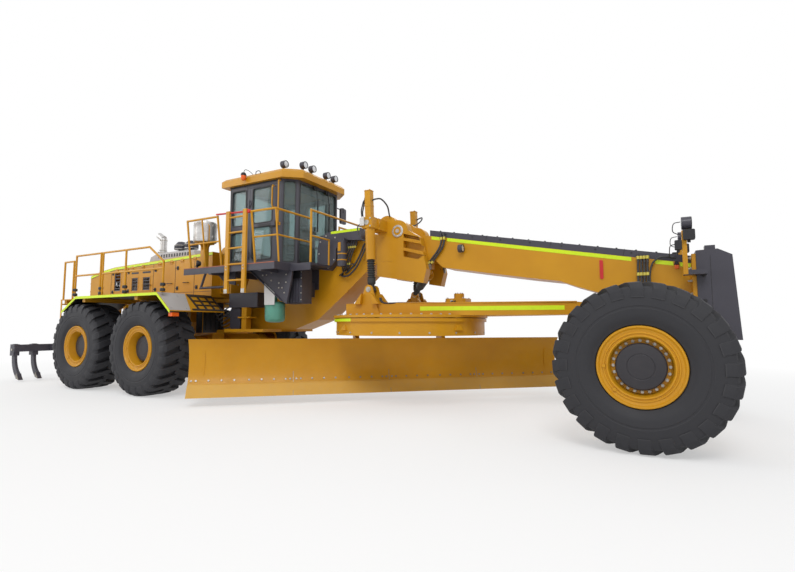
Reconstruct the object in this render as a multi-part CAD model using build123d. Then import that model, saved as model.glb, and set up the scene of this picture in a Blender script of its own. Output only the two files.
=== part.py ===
"""Mining motor grader: rear tractor, hinged front frame, drawbar, circle, moldboard and ripper.

Millimetres. X points forward, Y to the left, Z up. The origin is on the ground under the middle
of the machine. Each function returns one node, and NODES at the end lists them all.
"""
import math
import os

from build123d import *

# ---- running gear
TYRE_RADIUS = 960.0
TYRE_WIDTH = 750.0
TYRE_SIDES = 24
TRACK_HALF = 1765.0
TANDEM_X = -3400.0
TANDEM_PITCH = 2260.0
FRONT_AXLE_X = 6770.0
RIM_RADIUS = 458.0
RIM_SIDES = 32
HUB_RADIUS = 270.0
TANDEM_OUTER = TRACK_HALF - TYRE_WIDTH / 2 - 55
TANDEM_INNER = TANDEM_OUTER - 255
RIM_RECESS = 290.0
TREAD_DEPTH = 55.0
GROOVE_WIDTH = 90.0

# ---- rear tractor
PIVOT_X = -1500.0
PIN_RADIUS = 75.0
HOOD_HALF = 740.0
CHASSIS_X = (-6560.0, -1950.0)
CHASSIS_Y = (430.0, 530.0)
CHASSIS_Z = (1300.0, 1640.0)
FORK_Z = ((1250.0, 1330.0), (1960.0, 2040.0))
DECK_BEARERS = (-4420.0, -2500.0)
HOOD_MOUNTS = (-5600.0, -5000.0, -4420.0, -2500.0)
ENGINE_MOUNTS = (-4950.0, -3050.0)
ENGINE_FOOT = 1600.0
HOOD_BOTTOM = 2060.0
HOOD_TAIL = -6570.0
HOOD_FRONT = -1768.0
HOOD_LINE = [(HOOD_TAIL, 2764), (-6298, 2832), (-6022, 2884), (-5483, 2947), (-4835, 2972),
             (HOOD_FRONT, 3084)]
GUARD_DEPTH = 220.0
GUARD_HALF = 620.0
GUARD_HEIGHT = (2200, 2740)
COWL_TOP = 3262.0
COWL_HALF = 500.0
GRILLES = (((-5473, -5208), (2316, 2820)), ((-4724, -4475), (2300, 2625)),
           ((-4270, -3990), (2300, 2625)))
HOOD_WALL = 30.0
DECK_TOP = 2080.0
DECK_THICK = 20.0
SKIRT_DEPTH = 34.0
LADDER_X = -5600.0
LANDING_TOP = 2050.0
LADDER_OUTER = 1900.0
DECK_INNER = HOOD_HALF + 60
DECK_OUTER = TRACK_HALF + 345
RAIL_RADIUS = 21.0

# ---- front frame
FRAME_HALF = 300.0
SADDLE_INNER = 420.0
SADDLE_OUTER = 480.0
SADDLE_X = 2840.0
PIN_CAP_Z = 3148.0
COVER_THICK = 105.0
NOSE_HALF = 430.0
FRAME_FRONT = 7450.0
LAMP_POST_X = FRAME_FRONT - 160
FRAME_LOWER = [(-1330, 1345), (300, 1345), (900, 1540), (1553, 2045), (2017, 2430), (2300, 2600),
               (3500, 2600), (3650, 2450),
               (4340, 2329), (5178, 2185), (5642, 2115), (5861, 2027), (6240, 1900), (6240, 1400),
               (6500, 1180), (7040, 1180), (FRAME_FRONT, 1400)]
FRAME_UPPER = [(FRAME_FRONT, 2275), (6665, 2422), (3409, 3036), (2900, 3110), (2042, 3200),
               (1350, 2800), (760, 2500), (-1050, 2500), (-1290, 1950), (-1330, 1945)]
TANK_SHELF = (1290.0, 1350.0)
BOLSTER_HEIGHT = (1810.0, 2120.0)
SADDLE_POCKETS = ([(2960, 3095), (3265, 3010), (3300, 2935), (2960, 3020)],
                  [(2960, 2968), (3310, 2880), (3370, 2730), (2960, 2835)],
                  [(2960, 2787), (3380, 2675), (3250, 2600), (2960, 2670)])

# ---- cab and platforms
CAB_HALF = 900.0
CAB_REAR = -1070.0
CAB_CORNER = 380.0
CAB_FRONT = 630.0
CAB_FRONT_HALF = 670.0
CAB_FLOOR = 2600.0
CAB_EAVES = 4400.0
CAB_WALL = 60.0
CAB_PLAN = [(CAB_REAR, -CAB_HALF), (CAB_CORNER, -CAB_HALF), (CAB_FRONT, -CAB_FRONT_HALF),
            (CAB_FRONT, CAB_FRONT_HALF), (CAB_CORNER, CAB_HALF), (CAB_REAR, CAB_HALF)]
WINDOW_LOW = 2710.0
WINDOW_HIGH = 4350.0
DOOR_REAR = -490.0
DOOR_FRONT = 330.0
DOOR_SILL = 2680.0
DOOR_HEAD = 4320.0
DOOR_GAP = 8.0
HINGE_X = DOOR_REAR + 4
HINGE_Y = CAB_HALF + 14
HINGE_RADIUS = 14.0
HINGE_HEIGHTS = (2850.0, 3950.0)
DOOR_LIGHTS = (((-395, 140), (2780, 3450)), ((-395, 140), (3550, 4282)))
QUARTER_LIGHTS = (((-1000, -640), (2765, 3380)), ((-1000, -600), (3540, 4290)))
PLATFORM_TOP = 2600.0
PLATFORM_THICK = 40.0
PLATFORM_OUTER = 1560.0
PLATFORM_REAR = -1640.0
PLATFORM_FRONT = 860.0
PLATFORM_EDGE = 140.0
HANDRAIL_TOP = 3600.0
HANDRAIL_FOOT_Y = PLATFORM_OUTER - 150
HANDRAIL_TOP_Y = PLATFORM_OUTER - 25
POST_FOOT = PLATFORM_TOP + 3.0
MID_RAIL_RADIUS = 17.0
LADDER_STRINGS = (-385.0, 75.0)
STRING_WIDTH = 90.0
RUNG_HEIGHTS = (2290, 2601, 2914, 3221, 3521)

# ---- front axle
AXLE_Z = 960.0
LEAN_Y = TRACK_HALF - 705
LEAN_Z = 800.0
KINGPIN_Y = TRACK_HALF - 465
KINGPIN_RADIUS = 70.0

# ---- drawbar, circle and blade
BALL_X = 6050.0
BALL_Z = 1650.0
BALL_RADIUS = 110.0
CIRCLE_X = 2850.0
CIRCLE_OUTER = 1420.0
CIRCLE_BAND = 1385.0
CIRCLE_TEETH = 66
CIRCLE_ROOT = 1233.0
CIRCLE_TIP = 1160.0
PINION_TEETH = 11
PINION_ROOT = 153.0
PINION_TIP = 226.0
PINION_X = CIRCLE_X + 990.0
PINION_SHAFT = 60.0
ARM_INNER = 860.0
TIP_X = -640.0
TIP_Z = 420.0
CIRCLE_BOTTOM = 1250.0
CIRCLE_TOP = 1545.0
TABLE_BOTTOM = 1556.0
TABLE_TOP = 1600.0
BEAM_TOP = 1790.0
BLADE_TURN = -47.9
BLADE_LENGTH = 7315.0
BLADE_SHIFT = -310.0
BLADE_ARC = 750.0
BLADE_PLATE = 30.0
BLADE_FOOT = 280.0
BLADE_CROWN = 1178.0
BLADE_CENTRE_X = 240.0
BLADE_CENTRE_Z = 735.0
RAIL_HEIGHTS = ((400, 440), (1000, 1040))
RAIL_HALF = 2500.0
EDGE_BOTTOM = 160.0
SEAT_GAP = 0.3

# ---- lift and centre-shift cylinders
LIFT_X = 2500.0
LIFT_Y = 900.0
LIFT_Z = 3250.0
LIFT_EYE_X = 2550.0
LIFT_EYE_Z = 2050.0
BARREL_RADIUS = 88.0
BELLOWS_RADIUS = 74.0
LIFT_ROD_RADIUS = 38.0
SHIFT_TOP = (3354.0, -190.0, 2395.0)
SHIFT_END = (2600.0, 690.0, 2060.0)
SHIFT_BALL = 50.0
SHIFT_BARREL = 70.0
SHIFT_BOOT = 58.0

# ---- ripper
RIPPER_PIVOT_X = -6710.0
RIPPER_PIVOT_Z = 960.0
RIPPER_BEAM_X = -7360.0
RIPPER_BEAM_Z = 840.0
RIPPER_HALF = 1990.0
LINK_STARTS = (560.0, 1060.0)
LINK_WIDTH = 60.0
HINGE_GAP = 5.0
HINGE_PIN = 40.0
SHANK_PLACES = (-1925, -1500, -800, 0, 800, 1500, 1925)
SHANK_THICK = 60.0
SHANK_ARC = 605.0
SHANK_DEPTH = 150.0
SHANK_TURN = 55.0
SHANK_BEND = (RIPPER_BEAM_X + 290, RIPPER_BEAM_Z - 200)


# ------------------------------------------------------------------ shape helpers
def box(x, y, z):
    """Box between two limits on each axis."""
    size = Box(x[1] - x[0], y[1] - y[0], z[1] - z[0])
    return Pos((x[0] + x[1]) / 2, (y[0] + y[1]) / 2, (z[0] + z[1]) / 2) * size


def side_plate(points, y):
    """Outline in (x, z) carried across from y[0] to y[1]."""
    face = Plane.XZ * make_face(Polyline(*points, close=True))
    return Pos(0, y[1], 0) * extrude(face, amount=y[1] - y[0])


def deck_plate(points, z):
    """Outline in (x, y) carried up from z[0] to z[1]."""
    return Pos(0, 0, z[0]) * extrude(make_face(Polyline(*points, close=True)), amount=z[1] - z[0])


def cross_plate(points, x):
    """Outline in (y, z) carried forward from x[0] to x[1]."""
    face = Plane.YZ * make_face(Polyline(*points, close=True))
    return Pos(x[0], 0, 0) * extrude(face, amount=x[1] - x[0])


def round_x(x, y, z, radius):
    return strut((x[0], y, z), (x[1], y, z), radius)


def round_y(x, y, z, radius):
    return strut((x, y[0], z), (x, y[1], z), radius)


def round_z(x, y, z, radius):
    return strut((x, y, z[0]), (x, y, z[1]), radius)


def strut(start, end, radius):
    """Round bar between two points."""
    span = Vector(*end) - Vector(*start)
    bar = Cylinder(radius, span.length, align=(Align.CENTER, Align.CENTER, Align.MIN))
    return Plane(origin=start, z_dir=span) * bar


def rail(points, radius=RAIL_RADIUS):
    """Bent tube with mitred corners through the points."""
    path = Polyline(*points)
    section = Plane(origin=path @ 0, z_dir=path % 0) * Circle(radius)
    return sweep(section, path=path, transition=Transition.RIGHT)


def fuse(shapes):
    """One shape from many."""
    shapes = list(shapes)
    return shapes[0].fuse(*shapes[1:]) if len(shapes) > 1 else shapes[0]


def both_sides(shapes):
    """The shapes and their mirror images across the middle of the machine."""
    shapes = list(shapes)
    return shapes + [mirror(shape, about=Plane.XZ) for shape in shapes]


def faceted_ring(profile, sides):
    """The (y, apothem) profile carried round the Y axis in flat facets, one flat at the bottom."""
    corner = 1 / math.cos(math.pi / sides)
    rings = []
    for k in range(sides):
        angle = 2 * math.pi * (k + 0.5) / sides - math.pi / 2
        spoke = (corner * math.cos(angle), corner * math.sin(angle))
        rings.append([Vector(r * spoke[0], y, r * spoke[1]) for y, r in profile])
    faces = []
    for k in range(sides):
        here, there = rings[k], rings[(k + 1) % sides]
        for i in range(len(profile)):
            j = (i + 1) % len(profile)
            outline = Wire.make_polygon([here[i], here[j], there[j], there[i]])
            faces.append(Face(outline))
    return Solid(Shell(faces))


# ------------------------------------------------------------------ wheels
def tyre():
    """Tyre whose tread is cut into lugs by grooves across it."""
    half = TYRE_WIDTH / 2
    bead = RIM_RADIUS / math.cos(math.pi / RIM_SIDES) + SEAT_GAP
    profile = [(-half + 75, TYRE_RADIUS), (half - 75, TYRE_RADIUS), (half - 12, TYRE_RADIUS - 60),
               (half, TYRE_RADIUS - 230), (half - 35, bead + 25), (half - 45, bead),
               (-half + 45, bead), (-half + 35, bead + 25), (-half, TYRE_RADIUS - 230),
               (-half + 12, TYRE_RADIUS - 60)]
    groove = box((-GROOVE_WIDTH / 2, GROOVE_WIDTH / 2), (-half - 10, half + 10),
                 (TYRE_RADIUS - TREAD_DEPTH, TYRE_RADIUS + 60))
    grooves = [Rot(0, 360 * k / TYRE_SIDES, 0) * groove for k in range(TYRE_SIDES)]
    return faceted_ring(profile, TYRE_SIDES) - fuse(grooves)


def rear_rim():
    """Deep-dished rim: its disc lies well inside the outer flange."""
    face = TYRE_WIDTH / 2 - 40
    floor = face - RIM_RECESS
    profile = [(-face, RIM_RADIUS), (face, RIM_RADIUS), (face, RIM_RADIUS - 50),
               (floor + 40, RIM_RADIUS - 90), (floor + 40, HUB_RADIUS), (floor, HUB_RADIUS),
               (floor, RIM_RADIUS - 60), (-face, RIM_RADIUS - 40)]
    hub = round_y(0, (floor - 60, floor + 70), 0, HUB_RADIUS + 5)
    return fuse([faceted_ring(profile, RIM_SIDES), hub])


def front_rim():
    """Rim with its drive hub near the outer face and an open inner side for the knuckle."""
    face = TYRE_WIDTH / 2 - 40
    floor = face - 150
    profile = [(-face, RIM_RADIUS), (face, RIM_RADIUS), (face, RIM_RADIUS - 50),
               (floor + 40, RIM_RADIUS - 90), (floor + 40, HUB_RADIUS), (floor, HUB_RADIUS),
               (floor, RIM_RADIUS - 60), (-face, RIM_RADIUS - 40)]
    hub = round_y(0, (floor - 60, face - 40), 0, HUB_RADIUS + 30)
    return fuse([faceted_ring(profile, RIM_SIDES), hub])


def placed_wheel(piece, x, side):
    """A wheel piece at its axle, its outer face turned to the given side (-1 right, 1 left)."""
    if side < 0:
        piece = mirror(piece, about=Plane.XZ)
    return Pos(x, side * TRACK_HALF, AXLE_Z) * piece


# ------------------------------------------------------------------ rear tractor
def rear_frame():
    """Chassis rails with the hitch fork, deck bearers, tandem hangers and ripper ears."""
    rear, front = CHASSIS_X
    low, high = CHASSIS_Z
    inner, outer = CHASSIS_Y
    bearer_z = (HOOD_BOTTOM - 110, DECK_TOP - DECK_THICK)
    shapes = [box(CHASSIS_X, CHASSIS_Y, CHASSIS_Z),
              box((front - 200, front), (200, 800), (low - 50, FORK_Z[1][1])),
              box((rear - 40, rear + 260), (0, 1200), (RIPPER_PIVOT_Z - 80, high)),
              side_plate([(TANDEM_X - 350, low), (TANDEM_X + 350, low), (TANDEM_X + 250, AXLE_Z - 200),
                          (TANDEM_X - 250, AXLE_Z - 200)], (inner, TANDEM_INNER - 280)),
              box((LADDER_X, LADDER_X + 100), (outer, LADDER_OUTER - 60),
                  (LANDING_TOP - 110, LANDING_TOP - 20))]
    for x in DECK_BEARERS:
        shapes.append(box((x, x + 100), (outer, DECK_OUTER - 60), bearer_z))
    for x in HOOD_MOUNTS:
        shapes.append(box((x, x + 100), (outer - 30, HOOD_HALF + 20), (high - 140, bearer_z[0] + 10)))
    shapes = both_sides(shapes + ripper_hinge(RIPPER_PIVOT_X, RIPPER_PIVOT_Z, rear - 30))
    for x in ENGINE_MOUNTS:
        shapes.append(box((x, x + 200), (-inner - 10, inner + 10), (low, ENGINE_FOOT)))
    for z in FORK_Z:
        fork = deck_plate([(PIVOT_X - 600, -480), (PIVOT_X, -230), (PIVOT_X + 100, -180),
                           (PIVOT_X + 100, 180), (PIVOT_X, 230), (PIVOT_X - 600, 480)], z)
        shapes.append(fork - round_z(PIVOT_X, 0, (z[0] - 10, z[1] + 10), PIN_RADIUS))
    across = (-TANDEM_INNER + SEAT_GAP, TANDEM_INNER - SEAT_GAP)
    shapes.append(round_y(TANDEM_X, across, AXLE_Z, 210))
    return fuse(shapes)


def tandem_cases():
    """The drive cases that carry the two wheels on each side."""
    shapes = []
    for side in (-1, 1):
        near, far = side * TANDEM_INNER, side * TANDEM_OUTER
        y = (min(near, far), max(near, far))
        reach = TANDEM_PITCH / 2
        body = [box((TANDEM_X - reach, TANDEM_X + reach), y, (AXLE_Z - 260, AXLE_Z + 260))]
        for x in (TANDEM_X - reach, TANDEM_X + reach):
            body.append(round_y(x, y, AXLE_Z, 260))
            out = sorted((far, side * (TRACK_HALF - 15 - SEAT_GAP)))
            body.append(round_y(x, out, AXLE_Z, 200))
        shapes.append(fuse(body))
    return shapes


def engine_block():
    return box((-5500, -3100), (-400, 400), (ENGINE_FOOT + SEAT_GAP, 2650))


def hood():
    """Hollow hood, open below, with screened windows in its sides and a fan guard at the tail."""
    wall = HOOD_WALL
    outline = [(HOOD_TAIL, HOOD_BOTTOM)] + HOOD_LINE + [(HOOD_FRONT, HOOD_BOTTOM)]
    roof = [(x, z - wall) for x, z in HOOD_LINE[1:-1]]
    inner = [(HOOD_TAIL + wall, HOOD_BOTTOM - 10), (HOOD_TAIL + wall, HOOD_LINE[0][1] - wall)] + roof
    inner += [(HOOD_FRONT - wall, HOOD_LINE[-1][1] - wall), (HOOD_FRONT - wall, HOOD_BOTTOM - 10)]
    shell = side_plate(outline, (-HOOD_HALF, HOOD_HALF))
    shell -= side_plate(inner, (-HOOD_HALF + wall, HOOD_HALF - wall))
    for x, z in GRILLES:
        shell -= box(x, (-HOOD_HALF - 10, HOOD_HALF + 10), z)
    guard = box((HOOD_TAIL - GUARD_DEPTH, HOOD_TAIL + 5), (-GUARD_HALF, GUARD_HALF), GUARD_HEIGHT)
    guard = chamfer(guard.faces().sort_by(Axis.X)[0].edges(), 40)
    low, high = GUARD_HEIGHT
    mouth = box((HOOD_TAIL - GUARD_DEPTH - 10, HOOD_TAIL + 100), (-GUARD_HALF + 70, GUARD_HALF - 70),
                (low + 70, high - 70))
    return fuse([shell, guard]) - mouth


def hood_height(x):
    """Height of the hood's top at a place along it."""
    spans = zip(HOOD_LINE, HOOD_LINE[1:])
    start, end = next(span for span in spans if span[0][0] <= x <= span[1][0])
    return start[1] + (end[1] - start[1]) * (x - start[0]) / (end[0] - start[0])


def hood_cowl():
    """Raised cover over the engine's air intake, along the middle of the hood."""
    rear, front = -4440, -2640
    outline = [(rear, hood_height(rear) + SEAT_GAP), (rear + 90, 3165), (-4180, 3215), (-3950, COWL_TOP),
               (-3300, COWL_TOP), (-2746, 3246), (front, hood_height(front) + SEAT_GAP)]
    body = side_plate(outline, (-COWL_HALF, COWL_HALF))
    return chamfer(body.faces().sort_by(Axis.Z)[-1].edges().filter_by(Axis.X), 50)


def service_cabinet():
    """Cabinet with rounded upper edges, bolted to the front of the hood."""
    body = box((HOOD_FRONT + SEAT_GAP, -1420), (-COWL_HALF, COWL_HALF), (2140, 3205))
    top = body.faces().sort_by(Axis.Z)[-1]
    return fillet(top.edges().filter_by(Axis.Y), 110)


def hood_grilles():
    """Slatted screens that fill the windows in the hood's sides."""
    shapes = []
    slat = 22.0
    pitch = 85.0
    for bay, (low, high) in GRILLES:
        frame_x = (bay[0] + 0.5, bay[1] - 0.5)
        screen = box(frame_x, (-HOOD_HALF + 4, -HOOD_HALF + 26), (low + 0.5, high - 0.5))
        screen -= box((bay[0] + 30, bay[1] - 30), (-HOOD_HALF - 10, -HOOD_HALF + 40),
                      (low + 30, high - 30))
        slats = [box((bay[0] + 20, bay[1] - 20), (-HOOD_HALF + 6, -HOOD_HALF + 20),
                     (z, z + slat)) for z in steps(low + 60, high - 50, pitch)]
        shapes += both_sides([fuse([screen] + slats)])
    return shapes


def steps(start, stop, pitch):
    """Evenly spaced values from start to just under stop."""
    return [start + pitch * k for k in range(int((stop - start) / pitch) + 1)]


def fenders():
    """Walk-on decks over the tandem wheels, their ends bent down round the tyres."""
    top = [(-5160, 1760), (-4600, DECK_TOP), (-1700, DECK_TOP), (-1276, 1721)]
    under = [(x, z - DECK_THICK) for x, z in reversed(top)]
    deck = side_plate(top + under, (DECK_INNER, DECK_OUTER))
    edge = [(x, z - SKIRT_DEPTH) for x, z in reversed(top)]
    skirt = side_plate(top + edge, (DECK_OUTER - 8, DECK_OUTER))
    landing = box((LADDER_X - 60, LADDER_X + 430), (DECK_INNER, LADDER_OUTER),
                  (LANDING_TOP - 20, LANDING_TOP))
    return both_sides([fuse([deck, skirt]), landing])


def rear_rails():
    """Handrails round the rear decks and the boarding ladder behind each rear wheel."""
    y = DECK_OUTER - 60
    top = 3020
    mid = 2560
    foot = DECK_TOP
    shapes = [
        rail([(-4750, y, foot), (-4750, y, top), (-3765, y, top), (-3765, y, foot)]),
        rail([(-3686, y, foot), (-3686, y, top), (-2068, y, top), (-1600, y, 2700), (-1600, y, foot)]),
        rail([(-4750, y, mid), (-3765, y, mid)]),
        rail([(-3686, y, mid), (-1600, y, mid)]),
        round_z(-2850, y, (foot, top), RAIL_RADIUS),
    ]
    hoop = rail([(LADDER_X, LADDER_OUTER - 30, LANDING_TOP), (LADDER_X, LADDER_OUTER - 30, 2950),
                 (-5200, LADDER_OUTER - 30, 2950), (-5200, LADDER_OUTER - 30, LANDING_TOP)])
    return both_sides([fuse(shapes), hoop, rear_ladder()])


def rear_ladder():
    """Rungs between two flat strings that hang from the landing."""
    x = (LADDER_X - 50, LADDER_X)
    low = LADDER_OUTER - 450
    strings = [box(x, (y, y + 12), (970, LANDING_TOP - 20 - SEAT_GAP)) for y in (low, LADDER_OUTER - 12)]
    rungs = [box(x, (low, LADDER_OUTER), (z, z + 30)) for z in steps(1020, 1950, 300)]
    return fuse(strings + rungs)


def exhaust_stack():
    """Exhaust pipe in its heat sleeve, cut at the top towards the rear."""
    x = -4585
    pipe_radius = 85
    sleeve_radius = 130
    foot = hood_height(x + sleeve_radius) + SEAT_GAP
    pipe = round_z(x, 0, (foot, 3760), pipe_radius)
    sleeve = round_z(x, 0, (foot, 3390), sleeve_radius)
    elbow = strut((x, 0, 3740), (x - 190, 0, 3850), pipe_radius)
    return fuse([sleeve, pipe, elbow])


def air_cleaners():
    """Precleaner bowls of the engine's air intake, on necks above the cowl."""
    shapes = []
    for x in (-3850, -3460):
        neck = round_z(x, 0, (COWL_TOP + SEAT_GAP, 3400), 70)
        bowl = round_z(x, 0, (3390, 3500), 165)
        dome = Pos(x, 0, 3500) * Cone(165, 90, 90, align=(Align.CENTER, Align.CENTER, Align.MIN))
        shapes.append(fuse([neck, bowl, dome]))
    return shapes


# ------------------------------------------------------------------ ripper
def ripper_hinge(x, z, root):
    """Ears either side of each link, with the pin between them."""
    shapes = []
    tall = 75.0
    for y in LINK_STARTS:
        for near in (y - HINGE_GAP - 45, y + LINK_WIDTH + HINGE_GAP):
            ear = side_plate([(root, z - tall), (root, z + tall), (x, z + tall), (x, z - tall)],
                             (near, near + 45))
            shapes.append(fuse([ear, round_y(x, (near, near + 45), z, tall)]))
        shapes.append(round_y(x, (y - 30, y + LINK_WIDTH + 30), z, HINGE_PIN))
    return shapes


def ripper_links():
    """Two pairs of links that swing the ripper beam up and down."""
    shapes = []
    for y in LINK_STARTS:
        span = (y, y + LINK_WIDTH)
        link = side_plate([(RIPPER_PIVOT_X, RIPPER_PIVOT_Z - 70), (RIPPER_PIVOT_X, RIPPER_PIVOT_Z + 70),
                           (RIPPER_BEAM_X, RIPPER_BEAM_Z + 70), (RIPPER_BEAM_X, RIPPER_BEAM_Z - 70)], span)
        ends = ((RIPPER_PIVOT_X, RIPPER_PIVOT_Z), (RIPPER_BEAM_X, RIPPER_BEAM_Z))
        link = fuse([link] + [round_y(x, span, z, 70) for x, z in ends])
        for x, z in ends:
            link -= round_y(x, (y - 10, y + LINK_WIDTH + 10), z, HINGE_PIN + SEAT_GAP)
        shapes.append(link)
    middle = ((RIPPER_PIVOT_X + RIPPER_BEAM_X) / 2, (RIPPER_PIVOT_Z + RIPPER_BEAM_Z) / 2)
    shapes.append(round_y(middle[0], (LINK_STARTS[0] + 10, LINK_STARTS[1] + 10), middle[1], 45))
    return both_sides([fuse(shapes)])


def shank(y):
    """Curved ripper shank in its pocket, ending in a wedge point."""
    span = (y - SHANK_THICK / 2, y + SHANK_THICK / 2)
    x, z = SHANK_BEND
    near, far = SHANK_ARC - SHANK_DEPTH / 2, SHANK_ARC + SHANK_DEPTH / 2
    cos, sin = math.cos(math.radians(SHANK_TURN)), math.sin(math.radians(SHANK_TURN))
    stem = box((x - far, x - near), span, (z - 5, RIPPER_BEAM_Z + 110))
    bend = round_y(x, span, z, far) - round_y(x, (span[0] - 10, span[1] + 10), z, near)
    bend &= side_plate([(x, z), (x - 2 * far, z), (x - 2 * far * cos, z - 2 * far * sin)], span)
    heel, toe = (x - far * cos, z - far * sin), (x - near * cos, z - near * sin)
    point = ((heel[0] + toe[0]) / 2 + 170 * sin, (heel[1] + toe[1]) / 2 - 170 * cos)
    tip = side_plate([heel, toe, point], (span[0] - 12, span[1] + 12))
    pocket = box((x - far - 30, x - near + 15), (y - 65, y + 65), (650, RIPPER_BEAM_Z + 100))
    return fuse([stem, bend, tip, pocket])


def ripper_beam():
    """Cross beam on the links with its row of curved shanks."""
    rear, front = RIPPER_BEAM_X - 390, RIPPER_BEAM_X - 200
    beam = box((rear, front), (-RIPPER_HALF, RIPPER_HALF), (RIPPER_BEAM_Z - 90, RIPPER_BEAM_Z + 90))
    hinges = both_sides(ripper_hinge(RIPPER_BEAM_X, RIPPER_BEAM_Z, front - 10))
    return fuse([beam] + [shank(y) for y in SHANK_PLACES] + hinges)


# ------------------------------------------------------------------ front frame
def main_frame():
    """Box frame from the hitch over the gooseneck and saddle to the front axle."""
    spine = side_plate(FRAME_LOWER + FRAME_UPPER, (-FRAME_HALF, FRAME_HALF))
    tongue = deck_plate([(-1320, -FRAME_HALF), (-1320, FRAME_HALF), (-1560, 110), (-1560, -110)],
                        (1345, 1945))
    cheek = [(2401, 2338), (3356, 2172), (3420, 2420), (3290, 3000), (3050, 3150), (2440, 3270),
             (2401, 2900)]
    saddle = [side_plate(cheek, (FRAME_HALF - 5, SADDLE_OUTER)),
              round_y(SADDLE_X, (FRAME_HALF, SADDLE_OUTER), PIN_CAP_Z, 205),
              round_y(2610, (FRAME_HALF, SADDLE_OUTER), 3265, 195),
              round_y(SADDLE_X, (SADDLE_OUTER - 1, SADDLE_OUTER + 18), PIN_CAP_Z, 75),
              box((2380, 2620), (SADDLE_INNER, 790), (3150, 3350)),
              round_y(LIFT_X, (740, LIFT_Y - 100 - SEAT_GAP), LIFT_Z, 130)]
    axle_ears = [box((FRONT_AXLE_X - 230, FRONT_AXLE_X - 170), (0, 240), (820, 1400)),
                 box((FRONT_AXLE_X + 170, FRONT_AXLE_X + 230), (0, 240), (820, 1400))]
    ball_seat = box((BALL_X, 6245), (-190, 190), (1460, 1840))
    ball_seat -= Pos(BALL_X, 0, BALL_Z) * Sphere(BALL_RADIUS + SEAT_GAP)
    pin = round_x((FRONT_AXLE_X - 250, FRONT_AXLE_X + 250), 0, AXLE_Z - 20, 70)
    hitch_pin = round_z(PIVOT_X, 0, (1240, 2050), PIN_RADIUS - SEAT_GAP)
    x, y, z = SHIFT_TOP
    hanger = box((x - 62, x + 62), (y - 62, y + 62), (z + 44, 2605))
    hanger -= Pos(x, y, z) * Sphere(SHIFT_BALL + SEAT_GAP)
    mounts = [round_z(x, 230, (2490, CAB_FLOOR - SEAT_GAP), 60) for x in (-900, 480)]
    outrigger = [box((-1250, -130), (FRAME_HALF - 50, 800), TANK_SHELF),
                 box((-850, -710), (560, 700), (TANK_SHELF[1] - 5, BOLSTER_HEIGHT[0] - SEAT_GAP)),
                 box((-930, -590), (530, 730), (1580, 1610))]
    body = fuse([spine, tongue, ball_seat, pin, hitch_pin]
                + both_sides(saddle + axle_ears + mounts + outrigger))
    for pocket in SADDLE_POCKETS:
        body -= fuse(both_sides([side_plate(pocket, (FRAME_HALF + 60, SADDLE_OUTER + 10))]))
    body -= box((2660, 3110), (FRAME_HALF - 8, 500), (2100, 2530))
    return fuse([body, hanger])


def boom_cover():
    """Flat cover that carries the hoses along the top of the boom."""
    line = [(3409, 3036), (6665, 2422), (FRAME_FRONT - 10, 2277)]
    over = [(x, z + COVER_THICK) for x, z in reversed(line)]
    return side_plate([(x, z + SEAT_GAP) for x, z in line] + over, (-FRAME_HALF, FRAME_HALF))


def nose_box():
    """Push block bolted to the front of the frame, with a lifting eye on its top."""
    rear = FRAME_FRONT + SEAT_GAP
    low = 1230
    outline = [(rear, low), (rear + 470, low), (rear + 410, 2360), (rear + 250, 2450), (rear, 2441)]
    body = side_plate(outline, (-NOSE_HALF, NOSE_HALF))
    step = box((rear + 110, rear + 230), (-NOSE_HALF + 60, -NOSE_HALF + 200), (2440, 2510))
    return fuse([body, step])


def front_axle():
    beam = box((FRONT_AXLE_X - 130, FRONT_AXLE_X + 130), (-LEAN_Y, LEAN_Y), (780, 1110))
    shapes = [beam]
    for side in (-1, 1):
        shapes.append(round_x((FRONT_AXLE_X - 130, FRONT_AXLE_X + 130), side * LEAN_Y, LEAN_Z, 110))
    body = fuse(shapes)
    body -= round_x((FRONT_AXLE_X - 300, FRONT_AXLE_X + 300), 0, AXLE_Z - 20, 70 + SEAT_GAP)
    for side in (-1, 1):
        body -= round_x((FRONT_AXLE_X - 300, FRONT_AXLE_X + 300), side * LEAN_Y, LEAN_Z, 50)
    body -= box((FRONT_AXLE_X - 200, FRONT_AXLE_X + 200), (LEAN_Y - 60, LEAN_Y + 200), (915, 1200))
    body -= box((FRONT_AXLE_X - 200, FRONT_AXLE_X + 200), (-LEAN_Y - 200, -LEAN_Y + 60), (915, 1200))
    return body


def lean_bracket(side):
    """Clevis on the axle's end that tilts about a fore-and-aft pin and holds the kingpin."""
    inner, arm = LEAN_Y - 140, KINGPIN_Y - 120
    outer = KINGPIN_Y + 90
    outline = [(inner, 690), (arm, 660), (outer, 660), (outer, 735), (arm + 35, 735), (arm + 25, 900),
               (arm + 35, 1175), (outer, 1175), (outer, 1250), (arm - 30, 1250), (inner + 20, 900)]
    shapes = []
    for low in (FRONT_AXLE_X - 190, FRONT_AXLE_X + 150):
        shapes.append(cross_plate(outline, (low, low + 40)))
    for z in ((660, 735), (1175, 1250)):
        shapes.append(box((FRONT_AXLE_X - 190, FRONT_AXLE_X + 190), (arm, outer), z))
    shapes.append(round_x((FRONT_AXLE_X - 200, FRONT_AXLE_X + 200), LEAN_Y, LEAN_Z, 50 - SEAT_GAP))
    body = fuse(shapes)
    body -= round_z(FRONT_AXLE_X, KINGPIN_Y, (500, 1400), KINGPIN_RADIUS + SEAT_GAP)
    return body if side > 0 else mirror(body, about=Plane.XZ)


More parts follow.
